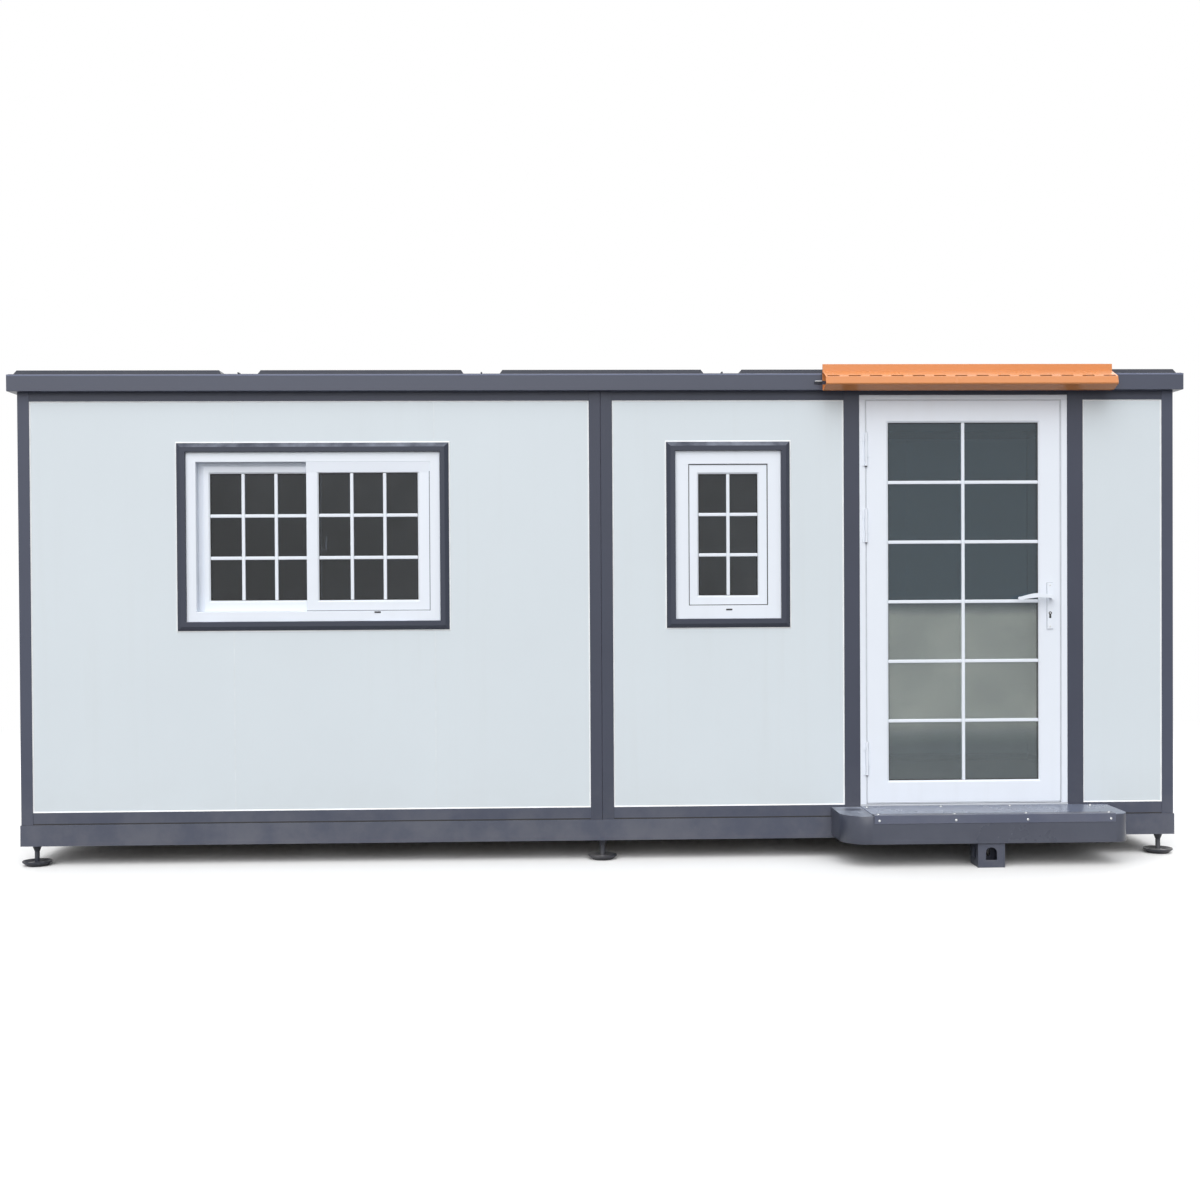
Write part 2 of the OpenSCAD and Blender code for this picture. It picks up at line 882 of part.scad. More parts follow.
module lock_plate() {
    linear_extrude(lock_plate_t) difference() {
        translate([-plate_face_w / 2, -plate_below]) square([plate_face_w, plate_l]);
        circle(spindle_r + spindle_fit);
        translate([0, -keyhole_drop]) circle(keyhole_r);
        translate([-keyhole_slot_w / 2, -keyhole_drop - keyhole_slot_h])
            square([keyhole_slot_w, keyhole_slot_h]);
    }
}

module lock_plates() {
    color(window_white)
        for (y = [door_y, leaf_back + lock_plate_t])
            on_front(lock_x, y, lever_z) lock_plate();
}

// Centre line and half width of the lever, from its hub at 0 to its tip at 1
function lever_line(t) = lever_wave * sin(lever_sweep * t);
function lever_half(t) = lever_root + lever_belly * sin(180 * t);

// Waved grip with a round hub and a round tip
module lever_arm() {
    grip_l = lever_l - lever_tip_r;
    out = [for (i = [0 : lever_steps]) i / lever_steps];
    back = [for (i = [lever_steps : -1 : 0]) i / lever_steps];
    translate([0, 0, lever_neck]) linear_extrude(lever_t) {
        polygon(concat(
            [for (t = out) [-grip_l * t, lever_line(t) + lever_half(t)]],
            [for (t = back) [-grip_l * t, lever_line(t) - lever_half(t)]]
        ));
        circle(lever_hub_r);
        translate([-grip_l, lever_line(1)]) circle(lever_tip_r);
    }
}

module lever_handle() {
    reach = lever_neck + lever_t / 2;
    color(window_white) on_front(lock_x, door_y, lever_z) {
        translate([0, 0, -leaf_t - reach]) cylinder(r = spindle_r, h = leaf_t + 2 * reach);
        lever_arm();
        translate([0, 0, -leaf_t]) mirror([0, 0, 1]) lever_arm();
    }
}

// Rain hood

// Unit normal on the right of the way from a to b
function side_normal(a, b) = [b[1] - a[1], a[0] - b[0]] / norm(b - a);

// Offset direction at one point of a path
function corner_normal(path, i) =
    i == 0 ? side_normal(path[0], path[1])
    : i == len(path) - 1 ? side_normal(path[i - 1], path[i])
    : let (a = side_normal(path[i - 1], path[i]), b = side_normal(path[i], path[i + 1]))
        (a + b) / (1 + a * b);

// Folded sheet whose outer face follows a path
module folded_sheet(path, t) {
    last = len(path) - 1;
    polygon(concat(path, [for (i = [last : -1 : 0]) path[i] + t * corner_normal(path, i)]));
}

// Row of slots through the hood's slope
module hood_slots() {
    band_h = (slot_band_shares[1] - slot_band_shares[0]) * hood_h;
    for (i = [0 : slot_count - 1])
        translate([slot_inset + i * slot_pitch, -slot_out_share * hood_out, -slot_band_shares[1] * hood_h])
            cube([slot_l, slot_w, band_h]);
}

module rain_hood() {
    path = [for (share = hood_shares) [share[0] * hood_out, -share[1] * hood_h]];
    color(hood_orange)
        translate([hood_x - hood_l / 2, hood_y, hood_top]) difference() {
            mirror([0, 1, 0]) rotate([90, 0, 90]) linear_extrude(hood_l) folded_sheet(path, hood_t);
            hood_slots();
        }
}

// Step

// Plan of the step: rounded front corners, with its front edge on the X axis
module step_plan(w, d, left_r, right_r) {
    translate([-w / 2 + left_r, 0]) square([w - left_r - right_r, d]);
    translate([-w / 2, left_r]) square([left_r, d - left_r]);
    translate([w / 2 - right_r, right_r]) square([right_r, d - right_r]);
    translate([-w / 2 + left_r, left_r]) circle(left_r);
    translate([w / 2 - right_r, right_r]) circle(right_r);
}

// Sheet box, open below
module step_body() {
    d = step_d - cover_t;
    color(frame_grey)
        translate([step_x, step_front + cover_t, step_z]) difference() {
            linear_extrude(step_h) step_plan(step_w, d, step_left_r, step_right_r);
            translate([0, step_t, -cut]) linear_extrude(step_h - step_t + cut)
                step_plan(step_w - 2 * step_t, d - 2 * step_t, step_left_r - step_t, step_right_r - step_t);
        }
}

module step_cover() {
    color(frame_grey)
        translate([step_x, step_front + cover_t, step_top - cover_t])
            linear_extrude(cover_t) intersection() {
                step_plan(step_w, step_d - cover_t, step_left_r, step_right_r);
                translate([cover_start - step_w / 2, 0]) square([step_w - cover_start, step_d]);
            }
}

// Angle along the front edge of the cover plate
module step_nosing() {
    color(frame_grey)
        translate([step_x - step_w / 2 + cover_start, step_front, step_top + cover_t - nosing_h])
            rotate([90, 0, 90]) linear_extrude(step_w - cover_start - step_right_r - cover_end) polygon([
                [0, 0], [cover_t, 0], [cover_t, nosing_h - cover_t],
                [nosing_w, nosing_h - cover_t], [nosing_w, nosing_h], [0, nosing_h]
            ]);
}

// Opening with a round top, standing on the X axis
module arch(w, h) {
    translate([-w / 2, 0]) square([w, h - w / 2]);
    translate([0, h - w / 2]) circle(w / 2);
}

module step_leg() {
    color(frame_grey)
        translate([step_x + leg_shift, step_front + leg_inset, 0]) difference() {
            translate([-leg_w / 2, 0, 0]) cube([leg_w, leg_d, leg_h]);
            translate([-leg_w / 2 + leg_wall, leg_wall, -cut])
                cube([leg_w - 2 * leg_wall, leg_d - 2 * leg_wall, leg_h + 2 * cut]);
            translate([0, leg_d + cut, arch_z])
                rotate([90, 0, 0]) linear_extrude(leg_d + 2 * cut) arch(arch_w, arch_h);
            translate([-leg_w / 2 - cut, leg_d / 2, arch_z])
                rotate([90, 0, 90]) linear_extrude(leg_w + 2 * cut) arch(arch_w, arch_h);
        }
}

base_long_beams();
base_end_beams();
floor_joists();
floor_board();
levelling_feet();
bottom_rails();
top_rails();
corner_posts();
middle_posts();
door_posts();
roof_front_edge();
roof_back_edge();
roof_end_edges();
roof_plates();
ceiling_panel();
front_wall_left();
front_wall_middle();
front_wall_right();
back_wall_left();
back_wall_right();
end_walls();
sliding_window_trim();
sliding_window_frame();
fixed_sash();
sliding_sash();
sliding_window_glass();
hung_window_trim();
hung_window_frame();
hung_sash();
hung_window_glass();
door_jambs();
door_head();
door_threshold();
door_stops();
door_leaf();
door_glass();
frame_hinges();
leaf_hinges();
lock_plates();
lever_handle();
rain_hood();
step_body();
step_cover();
step_nosing();
step_leg();
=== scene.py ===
import json
import math

import bmesh
import bpy
from bpy.props import FloatProperty, FloatVectorProperty, PointerProperty
from mathutils import Matrix, Vector


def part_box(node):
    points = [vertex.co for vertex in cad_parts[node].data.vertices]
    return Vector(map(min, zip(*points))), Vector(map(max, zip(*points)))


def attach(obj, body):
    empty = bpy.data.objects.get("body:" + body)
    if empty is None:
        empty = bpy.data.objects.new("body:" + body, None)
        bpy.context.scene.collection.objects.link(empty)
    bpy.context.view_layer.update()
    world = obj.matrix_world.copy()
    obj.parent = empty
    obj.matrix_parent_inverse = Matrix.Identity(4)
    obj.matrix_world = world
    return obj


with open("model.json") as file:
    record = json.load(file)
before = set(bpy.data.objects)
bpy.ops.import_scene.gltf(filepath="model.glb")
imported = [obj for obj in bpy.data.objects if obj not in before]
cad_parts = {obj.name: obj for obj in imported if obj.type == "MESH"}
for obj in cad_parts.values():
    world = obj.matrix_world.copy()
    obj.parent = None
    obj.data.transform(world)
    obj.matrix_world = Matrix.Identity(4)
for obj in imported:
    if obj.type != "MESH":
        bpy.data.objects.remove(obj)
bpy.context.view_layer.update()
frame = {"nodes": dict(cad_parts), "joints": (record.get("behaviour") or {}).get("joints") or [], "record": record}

bl_info = {
    "name": "Panel cabin dressing",
    "version": (1, 0, 0),
    "blender": (4, 5, 0),
    "location": "3D View > Sidebar > Cabin",
    "description": "Finishes, glazing bars, seals and fittings of a steel-framed panel cabin",
    "category": "Object",
}

NODES = frame["nodes"]
PIVOTS = {joint["name"]: Vector(joint["pos_m"]) for joint in frame["joints"]}


# Values that a user would change

class GlazingValues(bpy.types.PropertyGroup):
    """Sizes of the bars, gaskets and sealant"""
    bar_width: FloatProperty(
        name="Bar width", description="Face width of a glazing bar", default=0.017, unit="LENGTH")
    bar_stand: FloatProperty(
        name="Bar stand", description="How far a glazing bar stands off the glass", default=0.004,
        unit="LENGTH")
    gasket_width: FloatProperty(
        name="Gasket width", description="Visible width of the glazing gaskets", default=0.004,
        unit="LENGTH")
    sealant_width: FloatProperty(
        name="Sealant width", description="Width of the sealant beads on the walls", default=0.006,
        unit="LENGTH")


class FittingValues(bpy.types.PropertyGroup):
    """Sizes of the rivets, the lock and the hinges"""
    rivet_radius: FloatProperty(
        name="Rivet radius", description="Radius of the step's rivet heads", default=0.0065, unit="LENGTH")
    rivet_height: FloatProperty(
        name="Rivet height", description="Height of the step's rivet heads", default=0.003, unit="LENGTH")
    rivet_inset: FloatProperty(
        name="Rivet inset", description="Distance of the first rivet from the nosing's end", default=0.024,
        unit="LENGTH")
    key_drop: FloatProperty(
        name="Key drop", description="Distance of the key way below the lever", default=0.082, unit="LENGTH")
    hinge_radius: FloatProperty(
        name="Hinge radius", description="Radius of a hinge's barrel", default=0.007, unit="LENGTH")
    hinge_height: FloatProperty(
        name="Hinge height", description="Height of a hinge's barrel", default=0.168, unit="LENGTH")


class FinishValues(bpy.types.PropertyGroup):
    """Colours of the paints, skins and panes"""
    frame_paint: FloatVectorProperty(
        name="Frame paint", description="Paint of the posts, beams and roof", subtype="COLOR",
        default=(0.062, 0.070, 0.103))
    trim_paint: FloatVectorProperty(
        name="Trim paint", description="Paint of the window trims", subtype="COLOR",
        default=(0.038, 0.044, 0.066))
    foot_paint: FloatVectorProperty(
        name="Foot paint", description="Paint of the levelling feet", subtype="COLOR",
        default=(0.022, 0.025, 0.038))
    cover_paint: FloatVectorProperty(
        name="Cover paint", description="Paint of the step's cover plate", subtype="COLOR",
        default=(0.150, 0.176, 0.250))
    sill_paint: FloatVectorProperty(
        name="Sill paint", description="Finish of the door's threshold", subtype="COLOR",
        default=(0.460, 0.485, 0.530))
    panel_skin: FloatVectorProperty(
        name="Panel skin", description="Coating of the wall panels", subtype="COLOR",
        default=(0.640, 0.700, 0.745))
    white_plastic: FloatVectorProperty(
        name="White plastic", description="Window and door profiles", subtype="COLOR",
        default=(0.780, 0.825, 0.900))
    hood_paint: FloatVectorProperty(
        name="Hood paint", description="Paint of the rain hood", subtype="COLOR",
        default=(0.665, 0.250, 0.082))
    window_tint: FloatVectorProperty(
        name="Window tint", description="Tint of the windows' panes", subtype="COLOR",
        default=(0.250, 0.272, 0.298))
    door_tint: FloatVectorProperty(
        name="Door tint", description="Tint of the door's pane", subtype="COLOR",
        default=(0.215, 0.285, 0.335))
    # Painted reflection: the light film over the lower half of the door's pane
    door_film: FloatVectorProperty(
        name="Door film", description="Film of dust on the lower half of the door's pane", subtype="COLOR",
        default=(0.900, 0.960, 0.910))


class StageValues(bpy.types.PropertyGroup):
    """Place of the camera, and strengths of the light"""
    eye: FloatVectorProperty(
        name="Eye point", description="Place of the camera", subtype="TRANSLATION",
        default=(-0.2887, -9.0469, 1.4093))
    yaw: FloatProperty(
        name="Yaw", description="Turn of the camera towards +X", default=math.radians(1.949), unit="ROTATION")
    pitch: FloatProperty(
        name="Pitch", description="Tilt of the camera above the horizon", default=math.radians(-0.717),
        unit="ROTATION")
    roll: FloatProperty(
        name="Roll", description="Roll of the camera", default=math.radians(-0.325), unit="ROTATION")
    lens: FloatProperty(
        name="Lens", description="Focal length on a 36 mm wide sensor, in millimetres", default=48.0)
    zenith: FloatProperty(
        name="Zenith", description="Strength of the even light from above", default=0.90)
    horizon: FloatProperty(
        name="Horizon", description="Strength of the even light from the sides", default=0.30)
    bounce: FloatProperty(
        name="Bounce", description="Share of the light that the floor throws back", default=0.15)
    key: FloatProperty(
        name="Key lamp", description="Strength of the soft sun above the front", default=2.45)
    fill: FloatProperty(
        name="Fill lamp", description="Strength of the soft sun above the back", default=1.3)


VALUE_GROUPS = {
    "cabin_glazing": GlazingValues,
    "cabin_fittings": FittingValues,
    "cabin_finish": FinishValues,
    "cabin_stage": StageValues,
}


# Shader nodes

def feed(tree, node, **values):
    """Set a node's inputs or join them to sockets, by name with _ for spaces, or by i and a number."""
    for key, value in values.items():
        numbered = key[0] == "i" and key[1:].isdigit()
        socket = node.inputs[int(key[1:]) if numbered else key.replace("_", " ")]
        if isinstance(value, bpy.types.NodeSocket):
            tree.links.new(value, socket)
        else:
            socket.default_value = value
    return node


def add_node(tree, kind, settings=None, **values):
    """A node with its settings and its inputs."""
    node = tree.nodes.new(kind)
    for key, value in (settings or {}).items():
        setattr(node, key, value)
    return feed(tree, node, **values)


def math_node(tree, operation, a, b, clamp=False):
    settings = {"operation": operation, "use_clamp": clamp}
    return add_node(tree, "ShaderNodeMath", settings, i0=a, i1=b).outputs[0]


def scaled(tree, value, amount, base, clamp=False):
    """Value times amount, plus base."""
    return math_node(tree, "ADD", math_node(tree, "MULTIPLY", value, amount), base, clamp)


def varied(tree, value, middle, spread):
    """Value moved from 0..1 to the range of a spread about a middle."""
    return scaled(tree, value, 2 * spread, middle - spread)


def mix_colour(tree, factor, a, b):
    return add_node(tree, "ShaderNodeMix", {"data_type": "RGBA"}, i0=factor, i6=a, i7=b).outputs[2]


def ramp(tree, value, start, end):
    """Value moved from start..end to 0..1 with soft ends."""
    settings = {"interpolation_type": "SMOOTHSTEP"}
    return add_node(tree, "ShaderNodeMapRange", settings, i0=value, i1=start, i2=end).outputs[0]


def object_place(tree):
    return add_node(tree, "ShaderNodeTexCoord").outputs["Object"]


def surface_normal(tree):
    return add_node(tree, "ShaderNodeNewGeometry").outputs["Normal"]


def upward(tree, vector):
    """The part of a vector along Z."""
    return add_node(tree, "ShaderNodeSeparateXYZ", i0=vector).outputs[2]


def noise(tree, vector, scale=1.0, detail=3.0, roughness=0.5):
    values = {"Vector": vector, "Scale": scale, "Detail": detail, "Roughness": roughness}
    return add_node(tree, "ShaderNodeTexNoise", **values).outputs["Fac"]


def stretched(tree, vector, scale):
    return add_node(tree, "ShaderNodeMapping", Vector=vector, Scale=scale).outputs[0]


# Shader node groups

FLOAT, COLOUR = "NodeSocketFloat", "NodeSocketColor"
DUST = (0.42, 0.41, 0.40)
# Pale bluish dust that, laid thick on upward faces, also paints the light from above on them as a highlight
PALE_DUST = (0.40, 0.44, 0.53)


def new_group(name, inputs, outputs):
    """An empty shader node group with its sockets, what it is given, and its end node."""
    tree = bpy.data.node_groups.new(name, "ShaderNodeTree")
    for label, kind, value in inputs:
        socket = tree.interface.new_socket(label, in_out="INPUT", socket_type=kind)
        socket.default_value = value
    for label, kind in outputs:
        tree.interface.new_socket(label, in_out="OUTPUT", socket_type=kind)
    return tree, tree.nodes.new("NodeGroupInput").outputs, tree.nodes.new("NodeGroupOutput")


def build_orange_peel():
    """Fine skin of sprayed paint: a height, and a soft mottle."""
    tree, given, end = new_group("orange_peel", [
        ("Grain Scale", FLOAT, 260.0), ("Mottle Scale", FLOAT, 2.2),
    ], [("Height", FLOAT), ("Mottle", FLOAT)])
    where = object_place(tree)
    feed(tree, end, Height=noise(tree, where, given["Grain Scale"], detail=2.0),
         Mottle=noise(tree, where, given["Mottle Scale"], detail=5.0, roughness=0.6))
    return tree


def build_settled_dust():
    """Dust on upward faces and splashes near the ground, laid over a colour. Laid thick in a pale colour, the dust
    on upward faces is also a painted highlight of the light from above.
    """
    tree, given, end = new_group("settled_dust", [
        ("Color", COLOUR, (0.5, 0.5, 0.5, 1)), ("Dust Color", COLOUR, (*DUST, 1)),
        ("On Top", FLOAT, 0.25), ("Near Ground", FLOAT, 0.15),
    ], [("Color", COLOUR), ("Mask", FLOAT)])
    where = object_place(tree)
    patches = noise(tree, where, scale=5.5, detail=6.0, roughness=0.62)
    patch = ramp(tree, patches, start=0.30, end=0.72)
    facing = ramp(tree, upward(tree, surface_normal(tree)), start=0.35, end=0.95)
    lowness = ramp(tree, upward(tree, where), start=0.55, end=0.02)
    top = math_node(tree, "MULTIPLY", facing, given["On Top"])
    both = scaled(tree, lowness, given["Near Ground"], top, clamp=True)
    mask = math_node(tree, "MULTIPLY", both, patch, clamp=True)
    feed(tree, end, Mask=mask, Color=mix_colour(tree, mask, given["Color"], given["Dust Color"]))
    return tree


def build_rain_streaks():
    """Faint upright streaks that rain leaves on a wall."""
    tree, given, end = new_group("rain_streaks", [
        ("Color", COLOUR, (0.8, 0.8, 0.8, 1)), ("Streak Color", COLOUR, (0.5, 0.5, 0.48, 1)),
        ("Amount", FLOAT, 0.06),
    ], [("Color", COLOUR), ("Mask", FLOAT)])
    where = object_place(tree)
    fine = noise(tree, stretched(tree, where, (16.0, 16.0, 0.7)), detail=4.0)
    broad = noise(tree, stretched(tree, where, (1.6, 1.6, 0.5)), detail=2.0)
    streak = math_node(tree, "MULTIPLY", ramp(tree, fine, start=0.48, end=0.80),
                       ramp(tree, broad, start=0.35, end=0.70))
    mask = math_node(tree, "MULTIPLY", streak, given["Amount"], clamp=True)
    feed(tree, end, Mask=mask, Color=mix_colour(tree, mask, given["Color"], given["Streak Color"]))
    return tree


def build_worn_edges():
    """Mask that is strongest on outer edges, broken up by noise."""
    tree, given, end = new_group("worn_edges", [("Radius", FLOAT, 0.004)], [("Mask", FLOAT)])
    rounded = add_node(tree, "ShaderNodeBevel", {"samples": 4}, Radius=given["Radius"]).outputs[0]
    flat = surface_normal(tree)
    meet = add_node(tree, "ShaderNodeVectorMath", {"operation": "DOT_PRODUCT"}, i0=rounded, i1=flat)
    edge = ramp(tree, meet.outputs["Value"], start=0.985, end=0.80)
    specks = noise(tree, object_place(tree), scale=34.0, detail=5.0, roughness=0.65)
    broken = ramp(tree, specks, start=0.46, end=0.66)
    feed(tree, end, Mask=math_node(tree, "MULTIPLY", edge, broken))
    return tree


GROUP_BUILDERS = {
    "orange_peel": build_orange_peel,
    "settled_dust": build_settled_dust,
    "rain_streaks": build_rain_streaks,
    "worn_edges": build_worn_edges,
}


def place_group(tree, name, **values):
    """The outputs of a shared group, placed with its own values."""
    group = bpy.data.node_groups.get(name) or GROUP_BUILDERS[name]()
    return add_node(tree, "ShaderNodeGroup", {"node_tree": group}, **values).outputs


# Materials

FINISHES = {}
# Bared steel on worn edges: the paint's colour times a gain, plus a lift
WORN_GAIN, WORN_LIFT = 1.9, 0.02
DUST_ROUGHNESS, SMEAR_ROUGHNESS, FILM_ROUGHNESS = 0.4, 0.05, 0.20
# Heights between which the door's film begins, and between which it thins out. The film is a painted reflection:
# lighter below the waist, darker again at the foot.
FILM_WAIST, FILM_FOOT = (1.31, 1.20), (0.72, 0.55)
# Shares of the film that come and go in patches, and that are gone at the foot
FILM_PATCHES, FOOT_CLEARED = 0.25, 0.72
# Weight of the fine grain on the wall panels' ripple, and of the dark grain on the boards
PANEL_GRAIN, PLANK_GRAIN = 0.012, 0.55


def tinted(colour, scale):
    return [channel * scale for channel in colour]


def rgba(colour, scale=1.0):
    return (*tinted(colour, scale), 1.0)


def toned(tree, value, colour, dark, light):
    """A colour that goes from its dark to its light share with a value."""
    return mix_colour(tree, value, rgba(colour, dark), rgba(colour, light))


def new_material(name, **values):
    """A material, kept as a finish by its name, with plain values on its Principled BSDF's sockets."""
    material = bpy.data.materials.new(name)
    material.use_nodes = True
    FINISHES[name] = material
    tree = material.node_tree
    return tree, feed(tree, tree.nodes["Principled BSDF"], **values)


def bump(tree, shader, height, strength, distance):
    node = add_node(tree, "ShaderNodeBump", Height=height, Strength=strength, Distance=distance)
    feed(tree, shader, Normal=node.outputs[0])


def painted_steel(name, colour, roughness, on_top=0.25, near_ground=0.12, wear=0.5, peel=0.10, variation=0.10,
                  gloss=0.3, dust_colour=DUST):
    """Sprayed steel: mottled colour, dust on top, thin wear on the edges, a fine skin. Thick pale dust on top is
    also a painted highlight on the upward faces.
    """
    tree, shader = new_material(name, Specular_IOR_Level=gloss)
    skin = place_group(tree, "orange_peel")
    mottled = toned(tree, skin["Mottle"], colour, dark=1 - variation, light=1 + variation)
    worn = math_node(tree, "MULTIPLY", place_group(tree, "worn_edges")["Mask"], wear)
    bared = rgba([min(1.0, channel * WORN_GAIN + WORN_LIFT) for channel in colour])
    dust = place_group(tree, "settled_dust", Color=mix_colour(tree, worn, mottled, bared),
                       Dust_Color=rgba(dust_colour), On_Top=on_top, Near_Ground=near_ground)
    rough = varied(tree, skin["Mottle"], roughness, spread=0.07)
    feed(tree, shader, Base_Color=dust["Color"],
         Roughness=scaled(tree, dust["Mask"], DUST_ROUGHNESS, rough, clamp=True))
    bump(tree, shader, skin["Height"], strength=peel, distance=0.0006)


def coated_panel(name, colour):
    """Coil-coated wall skin: faint unevenness of the sheet, streaks and ground splashes."""
    tree, shader = new_material(name)
    skin = place_group(tree, "orange_peel", Grain_Scale=90.0, Mottle_Scale=0.9)
    mottled = toned(tree, skin["Mottle"], colour, dark=0.965, light=1.035)
    streaks = place_group(tree, "rain_streaks", Color=mottled, Amount=0.10)
    dust = place_group(tree, "settled_dust", Color=streaks["Color"], On_Top=0.0, Near_Ground=0.14)
    rough = varied(tree, skin["Mottle"], 0.40, spread=0.06)
    feed(tree, shader, Base_Color=dust["Color"],
         Roughness=math_node(tree, "ADD", rough, streaks["Mask"], clamp=True))
    ripple = noise(tree, stretched(tree, object_place(tree), (1.3, 1.3, 0.8)), detail=1.0)
    height = scaled(tree, skin["Height"], PANEL_GRAIN, ripple)
    bump(tree, shader, height, strength=0.35, distance=0.006)


def moulded_plastic(name, colour, grime=0.10):
    """Extruded plastic: drawn lines too fine to see as shape, a little grime in patches."""
    tree, shader = new_material(name, IOR=1.48)
    skin = place_group(tree, "orange_peel", Grain_Scale=420.0, Mottle_Scale=3.0)
    tone = toned(tree, skin["Mottle"], colour, dark=0.975, light=1.02)
    streaks = place_group(tree, "rain_streaks", Color=tone, Amount=grime)
    dust = place_group(tree, "settled_dust", Color=streaks["Color"], On_Top=0.20, Near_Ground=0.10)
    rough = varied(tree, skin["Mottle"], 0.30, spread=0.05)
    feed(tree, shader, Base_Color=dust["Color"],
         Roughness=math_node(tree, "ADD", rough, dust["Mask"], clamp=True))
    bump(tree, shader, skin["Height"], strength=0.05, distance=0.0003)


def clear_glass(name, clear):
    """Glass without its colour. Returns the place on the pane and the roughness of its smears too."""
    tree, shader = new_material(name, IOR=1.45, Specular_IOR_Level=0.3, Metallic=0.0,
                                Transmission_Weight=clear)
    where = object_place(tree)
    smears = noise(tree, where, scale=9.0, detail=6.0, roughness=0.65)
    smears = ramp(tree, smears, start=0.50, end=0.85)
    return tree, shader, where, math_node(tree, "MULTIPLY", smears, SMEAR_ROUGHNESS)


def window_glass(name, tint):
    """Dark tinted glass with a slow change of tone."""
    tree, shader, where, smear = clear_glass(name, clear=0.95)
    tone = ramp(tree, noise(tree, where, scale=1.7), start=0.30, end=0.70)
    feed(tree, shader, Base_Color=toned(tree, tone, tint, dark=0.8, light=1.2), Roughness=smear)


def dusty_glass(name, tint, dusty):
    """Tinted glass with a patchy film between waist height and the foot of a tall pane: a painted reflection,
    lighter below the waist and darker again near the foot.
    """
    tree, shader, where, smear = clear_glass(name, clear=0.84)
    height = upward(tree, where)
    patch = noise(tree, where, scale=3.0, detail=5.0, roughness=0.6)
    patch = scaled(tree, ramp(tree, patch, start=0.25, end=0.80), FILM_PATCHES, 1 - FILM_PATCHES)
    film = math_node(tree, "MULTIPLY", ramp(tree, height, *FILM_WAIST), patch)
    foot = math_node(tree, "MULTIPLY", ramp(tree, height, *FILM_FOOT), FOOT_CLEARED)
    film = math_node(tree, "MULTIPLY", film, math_node(tree, "SUBTRACT", 1.0, foot))
    feed(tree, shader, Base_Color=mix_colour(tree, film, rgba(tint), rgba(dusty)),
         Roughness=scaled(tree, film, FILM_ROUGHNESS, smear))


def zinc_coat(name, colour, roughness):
    """Bare or zinc-coated steel with spangle."""
    tree, shader = new_material(name, Metallic=1.0)
    where = object_place(tree)
    cells = add_node(tree, "ShaderNodeTexVoronoi", Vector=where, Scale=70.0)
    split = add_node(tree, "ShaderNodeSeparateColor", i0=cells.outputs["Color"]).outputs
    tone = toned(tree, split[0], colour, dark=0.90, light=1.08)
    dust = place_group(tree, "settled_dust", Color=tone, On_Top=0.12, Near_Ground=0.08)
    feed(tree, shader, Base_Color=dust["Color"], Roughness=varied(tree, split[1], roughness, spread=0.09))
    bump(tree, shader, noise(tree, where, scale=180.0, detail=2.0), strength=0.06, distance=0.0003)


def plank_sheet(name, light, dark):
    """Vinyl floor sheet printed with long boards."""
    tree, shader = new_material(name, Roughness=0.45)
    where = object_place(tree)
    boards = add_node(tree, "ShaderNodeTexBrick", {"offset": 0.37}, Vector=where, Scale=1.0,
                      Color1=rgba(light), Color2=rgba(dark), Mortar=rgba(dark, 0.35), Mortar_Size=0.0025,
                      Brick_Width=1.2, Row_Height=0.15)
    grain = noise(tree, stretched(tree, where, (2.0, 60.0, 60.0)), detail=5.0, roughness=0.6)
    streaked = math_node(tree, "MULTIPLY", grain, PLANK_GRAIN)
    feed(tree, shader, Base_Color=mix_colour(tree, streaked, boards.outputs["Color"], rgba(dark, 0.7)))
    bump(tree, shader, grain, strength=0.15, distance=0.0006)


def soft_rubber(name, colour, roughness=0.7):
    """Rubber or sealant with a dull uneven skin."""
    tree, shader = new_material(name)
    skin = place_group(tree, "orange_peel", Grain_Scale=500.0, Mottle_Scale=12.0)
    feed(tree, shader, Base_Color=toned(tree, skin["Mottle"], colour, dark=0.8, light=1.15),
         Roughness=varied(tree, skin["Mottle"], roughness, spread=0.1))
    bump(tree, shader, skin["Height"], strength=0.10, distance=0.0005)


